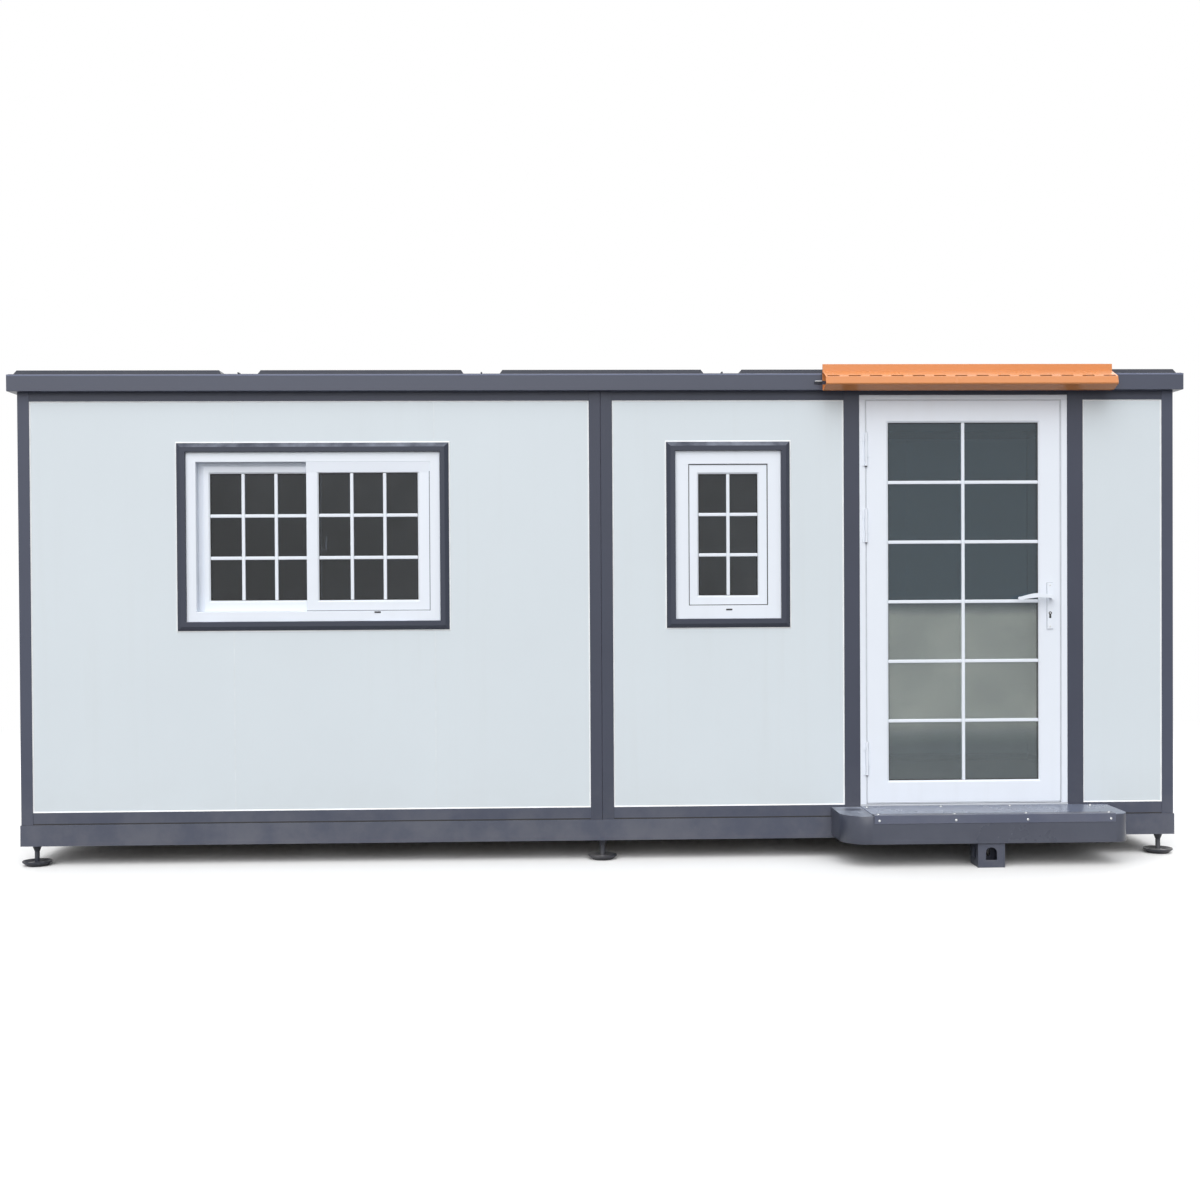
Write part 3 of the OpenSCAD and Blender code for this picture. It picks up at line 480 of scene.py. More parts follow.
def build_finishes(values):
    """Make every finish. One that serves a whole material slot has the slot's name."""
    paint = values.frame_paint
    painted_steel("frame_paint", paint, roughness=0.42)
    # Painted shade: a darker copy of the frame paint for the middle and door posts and the top rails
    painted_steel("post_paint", tinted(paint, 0.78), roughness=0.42)
    painted_steel("edge_paint", paint, roughness=0.36, wear=1.0, gloss=0.4)
    painted_steel("roof_paint", tinted(paint, 0.50), roughness=0.48, on_top=0.12)
    # Painted highlight, partly dust: thick pale dust lightens the step's upward faces as the light from above does
    painted_steel("step_paint", tinted(paint, 0.80), roughness=0.28, on_top=0.80, near_ground=0.04, peel=0.02,
                  variation=0.04, gloss=0.5, dust_colour=PALE_DUST)
    painted_steel("cover_paint", values.cover_paint, roughness=0.26, on_top=0.05, near_ground=0.02, wear=0.4,
                  peel=0.02, variation=0.03, gloss=0.6)
    painted_steel("nosing_paint", tinted(paint, 1.5), roughness=0.34, on_top=0.30, wear=0.8)
    # Painted highlight: a much lighter copy of the frame paint, for the strip along the roof edge's top
    painted_steel("bead_paint", tinted(paint, 2.6), roughness=0.40, wear=0.0)
    painted_steel("sill_paint", values.sill_paint, roughness=0.42, on_top=0.04, near_ground=0.0, wear=0.0,
                  peel=0.02, variation=0.03)
    # Painted highlight, partly dust: thick pale dust lightens the trims' upward bevels as the light from above
    # does
    painted_steel("trim_paint", values.trim_paint, roughness=0.40, on_top=1.0, near_ground=0.0,
                  dust_colour=PALE_DUST)
    painted_steel("foot_paint", values.foot_paint, roughness=0.38, on_top=0.30, near_ground=0.20)
    painted_steel("hood_paint", values.hood_paint, roughness=0.26, on_top=0.12, near_ground=0.0, wear=0.15,
                  variation=0.04)
    coated_panel("panel_skin", values.panel_skin)
    moulded_plastic("white_plastic", values.white_plastic)
    # Painted light: a lighter copy of the white plastic, without grime, that offsets the shade on the sliding
    # sash's sloped head
    moulded_plastic("fresh_plastic", tinted(values.white_plastic, 1.08), grime=0.0)
    window_glass("glazing", values.window_tint)
    # Painted reflection on the door's pane: a patchy light film below the waist, thinner at the foot
    dusty_glass("door_glazing", values.door_tint, values.door_film)
    zinc_coat("zinc_steel", (0.42, 0.43, 0.44), roughness=0.51)
    zinc_coat("bright_steel", (0.60, 0.61, 0.62), roughness=0.33)
    plank_sheet("floor_sheet", light=(0.36, 0.30, 0.23), dark=(0.24, 0.19, 0.14))
    soft_rubber("dark_rubber", (0.018, 0.018, 0.020))
    soft_rubber("grey_rubber", (0.30, 0.32, 0.36))
    soft_rubber("pale_rubber", (0.60, 0.63, 0.68))
    soft_rubber("panel_sealant", (0.68, 0.735, 0.775), roughness=0.55)
    soft_rubber("white_sealant", (0.88, 0.90, 0.92), roughness=0.55)


# Mesh building

SHARP_OVER = math.radians(35)
DOME_ANGLES = (0.0, 0.5, 0.95, 1.3)


def finish_piece(name, bm, body, finish, smooth=False):
    """A mesh piece in the part's frame that rides a body."""
    bmesh.ops.recalc_face_normals(bm, faces=bm.faces[:])
    mesh = bpy.data.meshes.new(name)
    bm.to_mesh(mesh)
    bm.free()
    if smooth:
        mesh.shade_smooth()
        mesh.set_sharp_from_angle(angle=SHARP_OVER)
    mesh.materials.append(FINISHES[finish])
    piece = bpy.data.objects.new(name, mesh)
    bpy.context.scene.collection.objects.link(piece)
    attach(piece, body)


def add_block(bm, low, high, round_by, steps=2):
    """Block between two corners, with rounded edges."""
    low, high = Vector(low), Vector(high)
    made = bmesh.ops.create_cube(bm, size=1.0)
    matrix = Matrix.Translation((low + high) / 2) @ Matrix.Diagonal((*(high - low), 1.0))
    bmesh.ops.transform(bm, matrix=matrix, verts=made["verts"])
    edges = list({edge for vertex in made["verts"] for edge in vertex.link_edges})
    bmesh.ops.bevel(bm, geom=edges, offset=round_by, segments=steps, profile=0.5, affect="EDGES")


def bridge(bm, a, b):
    """Faces between two closed loops of the same length."""
    for k in range(len(a)):
        n = (k + 1) % len(a)
        bm.faces.new((a[k], a[n], b[n], b[k]))


def add_prism(bm, x0, x1, section):
    """Straight bar along X. Section points are (y, z), as a closed loop."""
    ends = [[bm.verts.new((x, y, z)) for y, z in section] for x in (x0, x1)]
    bridge(bm, *ends)
    for end in ends:
        bm.faces.new(end)


def add_frame_sweep(bm, low, high, profile):
    """Ring around a box as seen from the front. Profile points are (inwards, y), as a closed loop."""
    corners = ((low.x, low.z, 1, 1), (high.x, low.z, -1, 1), (high.x, high.z, -1, -1), (low.x, high.z, 1, -1))
    loops = [[bm.verts.new((x + sx * u, y, z + sz * u)) for u, y in profile] for x, z, sx, sz in corners]
    for a, b in zip(loops, loops[1:] + loops[:1]):
        bridge(bm, a, b)


def add_lathe(bm, profile, base, along, segments=16):
    """Turned shape. Profile points are (radius, distance along the axis), from axis to axis."""
    axis = Vector(along).normalized()
    side = axis.orthogonal().normalized()
    other = axis.cross(side)
    turns = [2 * math.pi * k / segments for k in range(segments)]
    rims = [side * math.cos(turn) + other * math.sin(turn) for turn in turns]
    rings = []
    for radius, step in profile:
        centre = Vector(base) + axis * step
        rings.append([bm.verts.new(centre + radius * rim) for rim in (rims if radius else [axis])])
    for a, b in zip(rings, rings[1:]):
        if len(a) == len(b):
            bridge(bm, a, b)
            continue
        tip, ring = sorted((a, b), key=len)
        for k in range(segments):
            bm.faces.new((tip[0], ring[k], ring[(k + 1) % segments]))


def dome(radius, height, sunk):
    """Profile of a rivet head that is sunk a little into what it holds."""
    arc = [(radius * math.cos(angle), height * math.sin(angle)) for angle in DOME_ANGLES]
    return [(0, -sunk), (radius, -sunk)] + arc + [(0, height)]


# Operators

FRONT_WALLS = ("front_wall_left", "front_wall_middle", "front_wall_right")
WINDOW_TRIMS = {"front_wall_left": "sliding_window_trim", "front_wall_middle": "hung_window_trim"}


class CABIN_OT_finish_frame(bpy.types.Operator):
    """Give each solid of the frame its finish, and ease its edges"""
    bl_idname = "cabin.finish_frame"
    bl_label = "Finish the frame"

    # Finish of a solid that doesn't take its slot's own
    FINISH = {
        "roof_plates": "roof_paint", "roof_front_edge": "edge_paint", "roof_back_edge": "edge_paint",
        "roof_end_edges": "edge_paint", "base_long_beams": "edge_paint", "base_end_beams": "edge_paint",
        # Painted shade: these take the darker copy of the frame paint
        "middle_posts": "post_paint", "door_posts": "post_paint", "top_rails": "post_paint",
        "step_body": "step_paint", "step_cover": "cover_paint", "step_nosing": "nosing_paint",
        "door_threshold": "sill_paint", "door_glass": "door_glazing",
    }
    # Width of the eased edges, by slot, and of solids with wider ones
    EASED = {
        "frame_paint": 0.003, "trim_paint": 0.0015, "white_plastic": 0.002, "panel_skin": 0.001,
        "hood_paint": 0.0015, "bright_steel": 0.001,
    }
    WIDE = {"roof_front_edge": 0.005, "base_long_beams": 0.005}
    # Solids whose edges stay sharp
    SHARP = ("frame_hinges", "leaf_hinges", "roof_plates", "bottom_rails", "top_rails")
    WELD_WITHIN = 0.00002
    FLAT_WITHIN = math.radians(0.4)
    EDGE_OVER = math.radians(40)

    def execute(self, context):
        build_finishes(context.scene.cabin_finish)
        for row in frame["record"]["subparts"]:
            node, slot = row["node"], row["material_slot"]
            solid = NODES[node]
            solid.data.materials.clear()
            solid.data.materials.append(FINISHES[self.FINISH.get(node, slot)])
            width = self.WIDE.get(node, self.EASED.get(slot))
            if width and node not in self.SHARP:
                self.ease(solid, width)
        return {"FINISHED"}

    def ease(self, solid, width):
        """Join the solid's points, clear its flat faces of cuts and round its edges, all by modifiers."""
        weld = solid.modifiers.new("weld", "WELD")
        weld.merge_threshold = self.WELD_WITHIN
        flat = solid.modifiers.new("flat", "DECIMATE")
        flat.decimate_type = "DISSOLVE"
        flat.angle_limit = self.FLAT_WITHIN
        edge = solid.modifiers.new("eased", "BEVEL")
        edge.width = width
        edge.segments = 2
        edge.limit_method = "ANGLE"
        edge.angle_limit = self.EDGE_OVER
        edge.use_clamp_overlap = True


def pane_places():
    """Each pane's lowest corner, highest corner and body, by what holds it."""
    low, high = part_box("sliding_window_glass")
    fixed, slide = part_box("fixed_sash")[0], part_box("sliding_sash")[0]
    width = high.x - low.x - (slide.x - fixed.x)
    depth = high.y - low.y - (fixed.y - slide.y)
    back_pane = Vector((low.x, high.y - depth, low.z)), Vector((low.x + width, high.y, high.z))
    front_pane = Vector((high.x - width, low.y, low.z)), Vector((high.x, low.y + depth, high.z))
    return {
        "fixed_sash": (*back_pane, "cabin"),
        "sliding_sash": (*front_pane, "cabin"),
        "hung_sash": (*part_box("hung_window_glass"), "cabin"),
        "door": (*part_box("door_glass"), "door"),
    }


class CABIN_OT_glazing_bars(bpy.types.Operator):
    """Lay the white bars over the panes"""
    bl_idname = "cabin.glazing_bars"
    bl_label = "Add glazing bars"

    FIELDS = {"fixed_sash": (3, 3), "sliding_sash": (3, 3), "hung_sash": (2, 3), "door": (2, 6)}
    ROUND = 0.003

    def execute(self, context):
        values = context.scene.cabin_glazing
        for holder, (low, high, body) in pane_places().items():
            bm = bmesh.new()
            self.lay(bm, low, high, *self.FIELDS[holder], values.bar_width / 2, values.bar_stand)
            finish_piece(holder + "_bars", bm, body, "white_plastic")
        return {"FINISHED"}

    def lay(self, bm, low, high, across, up, half, out):
        """Upright bars in one length, and level bars between them."""
        y0, y1 = low.y - out, high.y + out
        edges = [low.x + (high.x - low.x) * n / across for n in range(across)] + [high.x]
        for x in edges[1:-1]:
            add_block(bm, (x - half, y0, low.z), (x + half, y1, high.z), self.ROUND)
        for k in range(1, up):
            z = low.z + (high.z - low.z) * k / up
            for n in range(across):
                x0 = edges[n] + (half if n else 0)
                x1 = edges[n + 1] - (half if n + 1 < across else 0)
                add_block(bm, (x0, y0, z - half), (x1, y1, z + half), self.ROUND)


class CABIN_OT_gaskets(bpy.types.Operator):
    """Run a dark gasket around each pane, on both faces"""
    bl_idname = "cabin.gaskets"
    bl_label = "Add gaskets"

    LIP = 0.0025
    # Shares of the width inwards, and of the lip off the glass
    PROFILE = ((0, -0.4), (0, 1), (0.5, 1), (1, 0.2), (1, -0.4))

    def execute(self, context):
        width = context.scene.cabin_glazing.gasket_width
        for holder, (low, high, body) in pane_places().items():
            bm = bmesh.new()
            for face, lip in ((low.y, -self.LIP), (high.y, self.LIP)):
                add_frame_sweep(bm, low, high, [(width * u, face + lip * v) for u, v in self.PROFILE])
            finish_piece(holder + "_gasket", bm, body, "dark_rubber")
        return {"FINISHED"}


class CABIN_OT_sash_seals(bpy.types.Operator):
    """Seal the hung sash all around; paint the shadow below and right of the sliding sash with grey strips, and
    fill above it in a lightened white
    """
    bl_idname = "cabin.sash_seals"
    bl_label = "Seal the sashes"

    # Distances inwards from the sash's edge, and back from its face
    HUNG_PROFILE = ((-0.0019, 0.006), (-0.0019, -0.0012), (0.0022, -0.0010), (0.0022, 0.0004),
                    (-0.0002, 0.0006), (-0.0002, 0.006))
    SLIDE_WIDTH, SLIDE_OUT, SLIDE_IN, SLIDE_ROUND = 0.005, 0.0010, 0.0004, 0.0004
    HEAD_HEIGHT, HEAD_LIP, HEAD_SUNK = 0.052, 0.0003, 0.0005

    def execute(self, context):
        low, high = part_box("hung_sash")
        bm = bmesh.new()
        add_frame_sweep(bm, low, high, [(u, low.y + v) for u, v in self.HUNG_PROFILE])
        finish_piece("hung_sash_seal", bm, "cabin", "dark_rubber")
        low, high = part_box("sliding_sash")
        self.slide_seal(low, high)
        self.slide_head(low, high)
        return {"FINISHED"}

    def slide_seal(self, low, high):
        """Grey strips on the sash's face, along its foot and its right edge, that paint its shadow lines."""
        front, back, top = low.y - self.SLIDE_OUT, low.y + self.SLIDE_IN, low.z + self.SLIDE_WIDTH
        bm = bmesh.new()
        add_block(bm, (low.x, front, low.z), (high.x, back, top), self.SLIDE_ROUND, 1)
        add_block(bm, (high.x - self.SLIDE_WIDTH, front, top), (high.x, back, high.z), self.SLIDE_ROUND, 1)
        finish_piece("sliding_sash_seal", bm, "cabin", "grey_rubber")

    def slide_head(self, low, high):
        """White sloped filler from the window frame's face down to the sash, in a lighter white that paints out
        the shade on its slope.
        """
        face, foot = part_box("sliding_window_frame")[0].y, high.z - self.HEAD_HEIGHT
        front, back = low.y - self.HEAD_LIP, low.y + self.HEAD_SUNK
        bm = bmesh.new()
        add_prism(bm, low.x, high.x, [(face, high.z), (back, high.z), (back, foot), (front, foot)])
        finish_piece("sliding_sash_head", bm, "cabin", "fresh_plastic")


class CABIN_OT_frame_joints(bpy.types.Operator):
    """Fill the joint above the base beam with dark strips that paint its shadow, and run a light strip along the
    roof's front edge that paints its highlight
    """
    bl_idname = "cabin.frame_joints"
    bl_label = "Fill the frame's joints"

    JOINT_OUT, JOINT_IN, JOINT_SUNK, JOINT_HEIGHT, JOINT_ROUND = 0.0020, 0.0010, 0.0005, 0.0060, 0.0008
    # Sizes of the light strip that paints the roof edge's highlight
    BEAD_OUT, BEAD_IN, BEAD_FOOT, BEAD_TOP, BEAD_ROUND = 0.0008, 0.0040, 0.0085, 0.0010, 0.0007
    END_GAP, HOOD_GAP = 0.002, 0.003

    def execute(self, context):
        self.base_joint()
        self.roof_bead()
        return {"FINISHED"}

    def base_joint(self):
        """Dark strips where the bottom rails stand on the base beam, painting the shadow in that joint."""
        face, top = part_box("bottom_rails")[0].y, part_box("base_long_beams")[1].z
        bm = bmesh.new()
        for wall in FRONT_WALLS:
            low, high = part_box(wall)
            add_block(bm, (low.x, face - self.JOINT_OUT, top - self.JOINT_SUNK),
                      (high.x, face + self.JOINT_IN, top + self.JOINT_HEIGHT), self.JOINT_ROUND, 1)
        finish_piece("base_joint", bm, "cabin", "dark_rubber")

    def roof_bead(self):
        """A light strip in two lengths, one on each side of the hood, that paints the highlight along the roof
        edge's top.
        """
        low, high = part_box("roof_front_edge")
        hood_low, hood_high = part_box("rain_hood")
        runs = ((low.x + self.END_GAP, hood_low.x - self.HOOD_GAP),
                (hood_high.x + self.HOOD_GAP, high.x - self.END_GAP))
        bm = bmesh.new()
        for x0, x1 in runs:
            add_block(bm, (x0, low.y - self.BEAD_OUT, high.z - self.BEAD_FOOT),
                      (x1, low.y + self.BEAD_IN, high.z - self.BEAD_TOP), self.BEAD_ROUND, 1)
        finish_piece("roof_bead", bm, "cabin", "bead_paint")


class CABIN_OT_door_seals(bpy.types.Operator):
    """Fill the joint around the leaf, with room for its far edge to swing out, and hang a sweep below it"""
    bl_idname = "cabin.door_seals"
    bl_label = "Seal the door"

    FRONT, BACK, ROUND = 0.002, 0.020, 0.0008
    TOUCH, SWING_ROOM, SWEEP_GAP = 0.0005, 0.0022, 0.002

    def execute(self, context):
        leaf_low, leaf_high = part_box("door_leaf")
        frame_low, frame_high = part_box("door_stops")
        foot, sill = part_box("door_jambs")[0].z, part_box("door_threshold")[1].z
        y0, y1 = leaf_low.y + self.FRONT, leaf_low.y + self.BACK
        left, right = leaf_low.x - self.TOUCH, leaf_high.x + self.SWING_ROOM
        bm = bmesh.new()
        add_block(bm, (frame_low.x, y0, foot), (left, y1, frame_high.z), self.ROUND, 1)
        add_block(bm, (right, y0, foot), (frame_high.x, y1, frame_high.z), self.ROUND, 1)
        add_block(bm, (left, y0, leaf_high.z + self.TOUCH), (right, y1, frame_high.z), self.ROUND, 1)
        finish_piece("door_seal", bm, "cabin", "pale_rubber")
        bm = bmesh.new()
        add_block(bm, (leaf_low.x + self.SWEEP_GAP, y0, sill + self.SWEEP_GAP),
                  (leaf_high.x - self.SWEEP_GAP, y1, leaf_low.z + self.TOUCH), self.ROUND, 1)
        finish_piece("door_sweep", bm, "door", "pale_rubber")
        return {"FINISHED"}


class CABIN_OT_wall_sealant(bpy.types.Operator):
    """Run sealant along the front walls and the window trims, and fill the joints between panels"""
    bl_idname = "cabin.wall_sealant"
    bl_label = "Seal the walls"

    SUNK, LIP = 0.001, 0.0002
    # Shares of the width: a wall bead's height at the edge, and the place and height of its shoulder
    WALL_OUT, WALL_SHOULDER, WALL_SHOULDER_OUT = 0.6, 0.35, 0.45
    # A trim bead's heights at the edge and at the shoulder, and the shoulder's place as a share of the width
    TRIM_OUT, TRIM_SHOULDER_OUT, TRIM_SHOULDER = 0.004, 0.003, 0.4
    JOINT_OUT, JOINT_IN, JOINT_ROUND = 0.0006, 0.0010, 0.0004
    WIDEST_JOINT = 0.002

    def execute(self, context):
        width = context.scene.cabin_glazing.sealant_width
        self.beads(width)
        self.panel_joints(width / 2)
        return {"FINISHED"}

    def beads(self, width):
        """White beads inside the edges of the walls, and outside the edges of the trims."""
        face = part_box("front_wall_left")[0].y
        back, lip = face + self.SUNK, face - self.LIP
        wall_bead = [(0, back), (0, face - width * self.WALL_OUT),
                     (width * self.WALL_SHOULDER, face - width * self.WALL_SHOULDER_OUT),
                     (width, lip), (width, back)]
        trim_bead = [(0, back), (0, face - self.TRIM_OUT),
                     (-width * self.TRIM_SHOULDER, face - self.TRIM_SHOULDER_OUT),
                     (-width, lip), (-width, back)]
        bm = bmesh.new()
        for nodes, bead in ((FRONT_WALLS, wall_bead), (WINDOW_TRIMS.values(), trim_bead)):
            for node in nodes:
                add_frame_sweep(bm, *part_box(node), bead)
        finish_piece("wall_sealant", bm, "cabin", "white_sealant")

    def panel_joints(self, half):
        """Strips between the front's panels, broken where a window is."""
        bm = bmesh.new()
        for wall, trim in WINDOW_TRIMS.items():
            low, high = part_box(wall)
            trim_low, trim_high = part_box(trim)
            for x in self.joint_places(wall):
                crossed = trim_low.x < x < trim_high.x
                runs = ((low.z, trim_low.z), (trim_high.z, high.z)) if crossed else ((low.z, high.z),)
                for z0, z1 in runs:
                    add_block(bm, (x - half, low.y - self.JOINT_OUT, z0),
                              (x + half, low.y + self.JOINT_IN, z1), self.JOINT_ROUND, 1)
        finish_piece("panel_joints", bm, "cabin", "panel_sealant")

    def joint_places(self, wall):
        """Places along X of the thin gaps between a wall's panels."""
        edges = sorted({round(vertex.co.x, 5) for vertex in NODES[wall].data.vertices})
        return [(a + b) / 2 for a, b in zip(edges, edges[1:]) if b - a < self.WIDEST_JOINT]


class CABIN_OT_window_fittings(bpy.types.Operator):
    """Fit drain caps to the window frames and a latch inside the sliding sash"""
    bl_idname = "cabin.window_fittings"
    bl_label = "Fit the windows"

    # Window frame, its sash, share of the sash's width, distance below the sash
    DRAINS = (
        ("sliding_window_frame", "sliding_sash", 0.571, 0.006),
        ("hung_window_frame", "hung_sash", 0.508, 0.023),
    )
    DRAIN_HALF_WIDTH, DRAIN_HALF_HEIGHT, DRAIN_ROUND = 0.016, 0.004, 0.0018
    DRAIN_OUT, DRAIN_IN = 0.0025, 0.002
    LATCH_ASIDE, LATCH_UP = 0.054, 0.345
    # Plate, arm and grip of the latch, from its place on the sash: two corners and the rounding
    LATCH_BLOCKS = (
        ((-0.012, -0.0005, -0.050), (0.012, 0.005, 0.050), 0.002),
        ((-0.006, 0.010, -0.045), (0.044, 0.018, -0.033), 0.003),
        ((0.032, 0.010, -0.045), (0.044, 0.018, 0.030), 0.003),
    )
    LATCH_HUB = ((0, 0.004), (0.012, 0.004), (0.012, 0.014), (0.009, 0.017), (0, 0.017))

    def execute(self, context):
        bm = bmesh.new()
        for node, sash, share, drop in self.DRAINS:
            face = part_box(node)[0].y
            low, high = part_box(sash)
            x, z = low.x + (high.x - low.x) * share, low.z - drop
            add_block(bm, (x - self.DRAIN_HALF_WIDTH, face - self.DRAIN_OUT, z - self.DRAIN_HALF_HEIGHT),
                      (x + self.DRAIN_HALF_WIDTH, face + self.DRAIN_IN, z + self.DRAIN_HALF_HEIGHT),
                      self.DRAIN_ROUND)
        finish_piece("drain_caps", bm, "cabin", "dark_rubber")
        self.latch()
        return {"FINISHED"}

    def latch(self):
        """A grip that turns on a plate, on the inside of the sash."""
        low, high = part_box("sliding_sash")
        place = Vector((low.x + self.LATCH_ASIDE, high.y, low.z + self.LATCH_UP))
        bm = bmesh.new()
        for near, far, round_by in self.LATCH_BLOCKS:
            add_block(bm, place + Vector(near), place + Vector(far), round_by)
        add_lathe(bm, self.LATCH_HUB, place, (0, 1, 0))
        finish_piece("sash_latch", bm, "cabin", "white_plastic")


class CABIN_OT_door_lock(bpy.types.Operator):
    """Fit the key's core with a dark disc and slot around it that paint the keyhole's shade, a grey ring around
    the lock plates that paints their shadow outline, and the plates' screws
    """
    bl_idname = "cabin.door_lock"
    bl_label = "Fit the lock"

    CORE = ((0, 0), (0.0034, 0), (0.0034, 0.0012), (0.0026, 0.0016), (0, 0.0016))
    # Painted shade: the dark disc around the key's core, in the keyhole
    CASE = ((0, 0), (0.0083, 0), (0.0083, 0.0010), (0, 0.0010))
    BARREL_SUNK, BARREL_SIDES = 0.0008, 24
    WEB_OUT, WEB_IN, WEB_HALF, WEB_FOOT, WEB_TOP, WEB_ROUND = 0.0005, 0.004, 0.0052, 0.0260, 0.006, 0.001
    # Distances inwards from the plate's edge, and out from the leaf, of the grey ring that paints the plates'
    # shadow outline
    JOINT = ((0, -0.0004), (0, 0.0008), (-0.0016, 0.0006), (-0.0016, -0.0004))
    SCREW = dome(radius=0.0045, height=0.0016, sunk=0.001)
    SCREW_INSET, SCREW_SIDES = 0.012, 12

    def execute(self, context):
        low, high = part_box("lock_plates")
        leaf_low, leaf_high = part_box("door_leaf")
        x = (low.x + high.x) / 2
        z = PIVOTS["lever_turn"].z - context.scene.cabin_fittings.key_drop
        core, case, joint, screws = bmesh.new(), bmesh.new(), bmesh.new(), bmesh.new()
        for face, leaf, out in ((low.y, leaf_low.y, -1), (high.y, leaf_high.y, 1)):
            start, along = (x, face - out * self.BARREL_SUNK, z), (0, out, 0)
            add_lathe(core, self.CORE, start, along, self.BARREL_SIDES)
            add_lathe(case, self.CASE, start, along, self.BARREL_SIDES)
            y0, y1 = sorted((face + out * self.WEB_OUT, face - out * self.WEB_IN))
            add_block(case, (x - self.WEB_HALF, y0, z - self.WEB_FOOT),
                      (x + self.WEB_HALF, y1, z - self.WEB_TOP), self.WEB_ROUND)
            add_frame_sweep(joint, low, high, [(u, leaf + out * v) for u, v in self.JOINT])
            for height in (low.z + self.SCREW_INSET, high.z - self.SCREW_INSET):
                add_lathe(screws, self.SCREW, (x, face, height), along, self.SCREW_SIDES)
        finish_piece("lock_cylinder", core, "door", "bright_steel", smooth=True)
        # Painted shade of the keyhole: its disc and slot in dark rubber
        finish_piece("cylinder_case", case, "door", "dark_rubber", smooth=True)
        # Painted shadow: the grey ring around the lock plates
        finish_piece("plate_joint", joint, "door", "grey_rubber")
        finish_piece("plate_screws", screws, "door", "bright_steel", smooth=True)
        return {"FINISHED"}


class CABIN_OT_hinge_caps(bpy.types.Operator):
    """Close the hinges' barrels, with pale caps on top and dark pins below"""
    bl_idname = "cabin.hinge_caps"
    bl_label = "Cap the hinges"

    # Shares of the leaf's height
    PLACES = (0.11, 0.69, 0.88)
    # Shares of the barrel's radius, and distances from its end
    PROFILE = ((0, -0.001), (0.9, -0.001), (0.9, 0.001), (0.55, 0.004), (0, 0.0045))

    def execute(self, context):
        values = context.scene.cabin_fittings
        axis = PIVOTS["door_swing"]
        low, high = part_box("door_leaf")
        cap = [(values.hinge_radius * share, step) for share, step in self.PROFILE]
        for name, side, finish in (("hinge_caps", 1, "pale_rubber"), ("hinge_pins", -1, "dark_rubber")):
            bm = bmesh.new()
            for share in self.PLACES:
                z = low.z + (high.z - low.z) * share + side * values.hinge_height / 2
                add_lathe(bm, cap, (axis.x, axis.y, z), (0, 0, side))
            finish_piece(name, bm, "cabin", finish, smooth=True)
        return {"FINISHED"}


class CABIN_OT_hood_clip(bpy.types.Operator):
    """Clip the hood's end to the roof edge: a dark plate paints the shadow under the clip, and a light zinc lip
    above it paints its lit top
    """
    bl_idname = "cabin.hood_clip"
    bl_label = "Clip the hood"

    FAR_END, NEAR_END, UP, SUNK = 0.042, 0.002, 0.040, 0.001
    PLATE_OUT, PLATE_HEIGHT, PLATE_ROUND = 0.004, 0.012, 0.001
    LIP_INSET, LIP_OUT, LIP_HEIGHT, LIP_ROUND = 0.004, 0.012, 0.006, 0.002

    def execute(self, context):
        hood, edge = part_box("rain_hood")[0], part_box("roof_front_edge")[0]
        x0, x1 = hood.x - self.FAR_END, hood.x - self.NEAR_END
        back, z = edge.y + self.SUNK, edge.z + self.UP
        bm = bmesh.new()
        add_block(bm, (x0, edge.y - self.PLATE_OUT, z - self.PLATE_HEIGHT), (x1, back, z), self.PLATE_ROUND)
        # Painted shadow: the clip's plate in the feet's dark paint
        finish_piece("hood_clip", bm, "cabin", "foot_paint")
        bm = bmesh.new()
        add_block(bm, (x0 + self.LIP_INSET, edge.y - self.LIP_OUT, z), (x1, back, z + self.LIP_HEIGHT),
                  self.LIP_ROUND)
        # Painted highlight: the light zinc lip on the clip's top
        finish_piece("hood_clip_lip", bm, "cabin", "zinc_steel")
        return {"FINISHED"}


class CABIN_OT_step_rivets(bpy.types.Operator):
    """Set the rivets in the step's nosing and cover plate"""
    bl_idname = "cabin.step_rivets"
    bl_label = "Rivet the step"

    # Shares of the way from the first rivet to the last
    PLACES = (0.0, 0.33, 0.64, 1.0)
    FRONT_UP, NOSING_INSET, COVER_INSET = 0.016, 0.034, 0.040
    TOP_WIDER, TOP_TALLER = 1.2, 1.7
    SUNK, SIDES = 0.001, 14

    def execute(self, context):
        values = context.scene.cabin_fittings
        radius, height, inset = values.rivet_radius, values.rivet_height, values.rivet_inset
        low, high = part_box("step_nosing")
        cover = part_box("step_cover")[1]
        front = dome(radius, height, self.SUNK)
        top = dome(radius * self.TOP_WIDER, height * self.TOP_TALLER, self.SUNK)
        bm = bmesh.new()
        for share in self.PLACES:
            x = low.x + inset + (high.x - low.x - 2 * inset) * share
            add_lathe(bm, front, (x, low.y, low.z + self.FRONT_UP), (0, -1, 0), self.SIDES)
            add_lathe(bm, top, (x, low.y + self.NOSING_INSET, high.z), (0, 0, 1), self.SIDES)
            add_lathe(bm, top, (x, cover.y - self.COVER_INSET, cover.z), (0, 0, 1), self.SIDES)
        finish_piece("step_rivets", bm, "cabin", "bright_steel", smooth=True)
        return {"FINISHED"}


def seen_rays(tree):
    """1 for rays from the camera, from mirrors and through glass, 0 for the light on the object."""
    ray = add_node(tree, "ShaderNodeLightPath").outputs
    mirrored = math_node(tree, "MAXIMUM", ray["Is Glossy Ray"], ray["Is Transmission Ray"])
    return math_node(tree, "MAXIMUM", ray["Is Camera Ray"], mirrored)


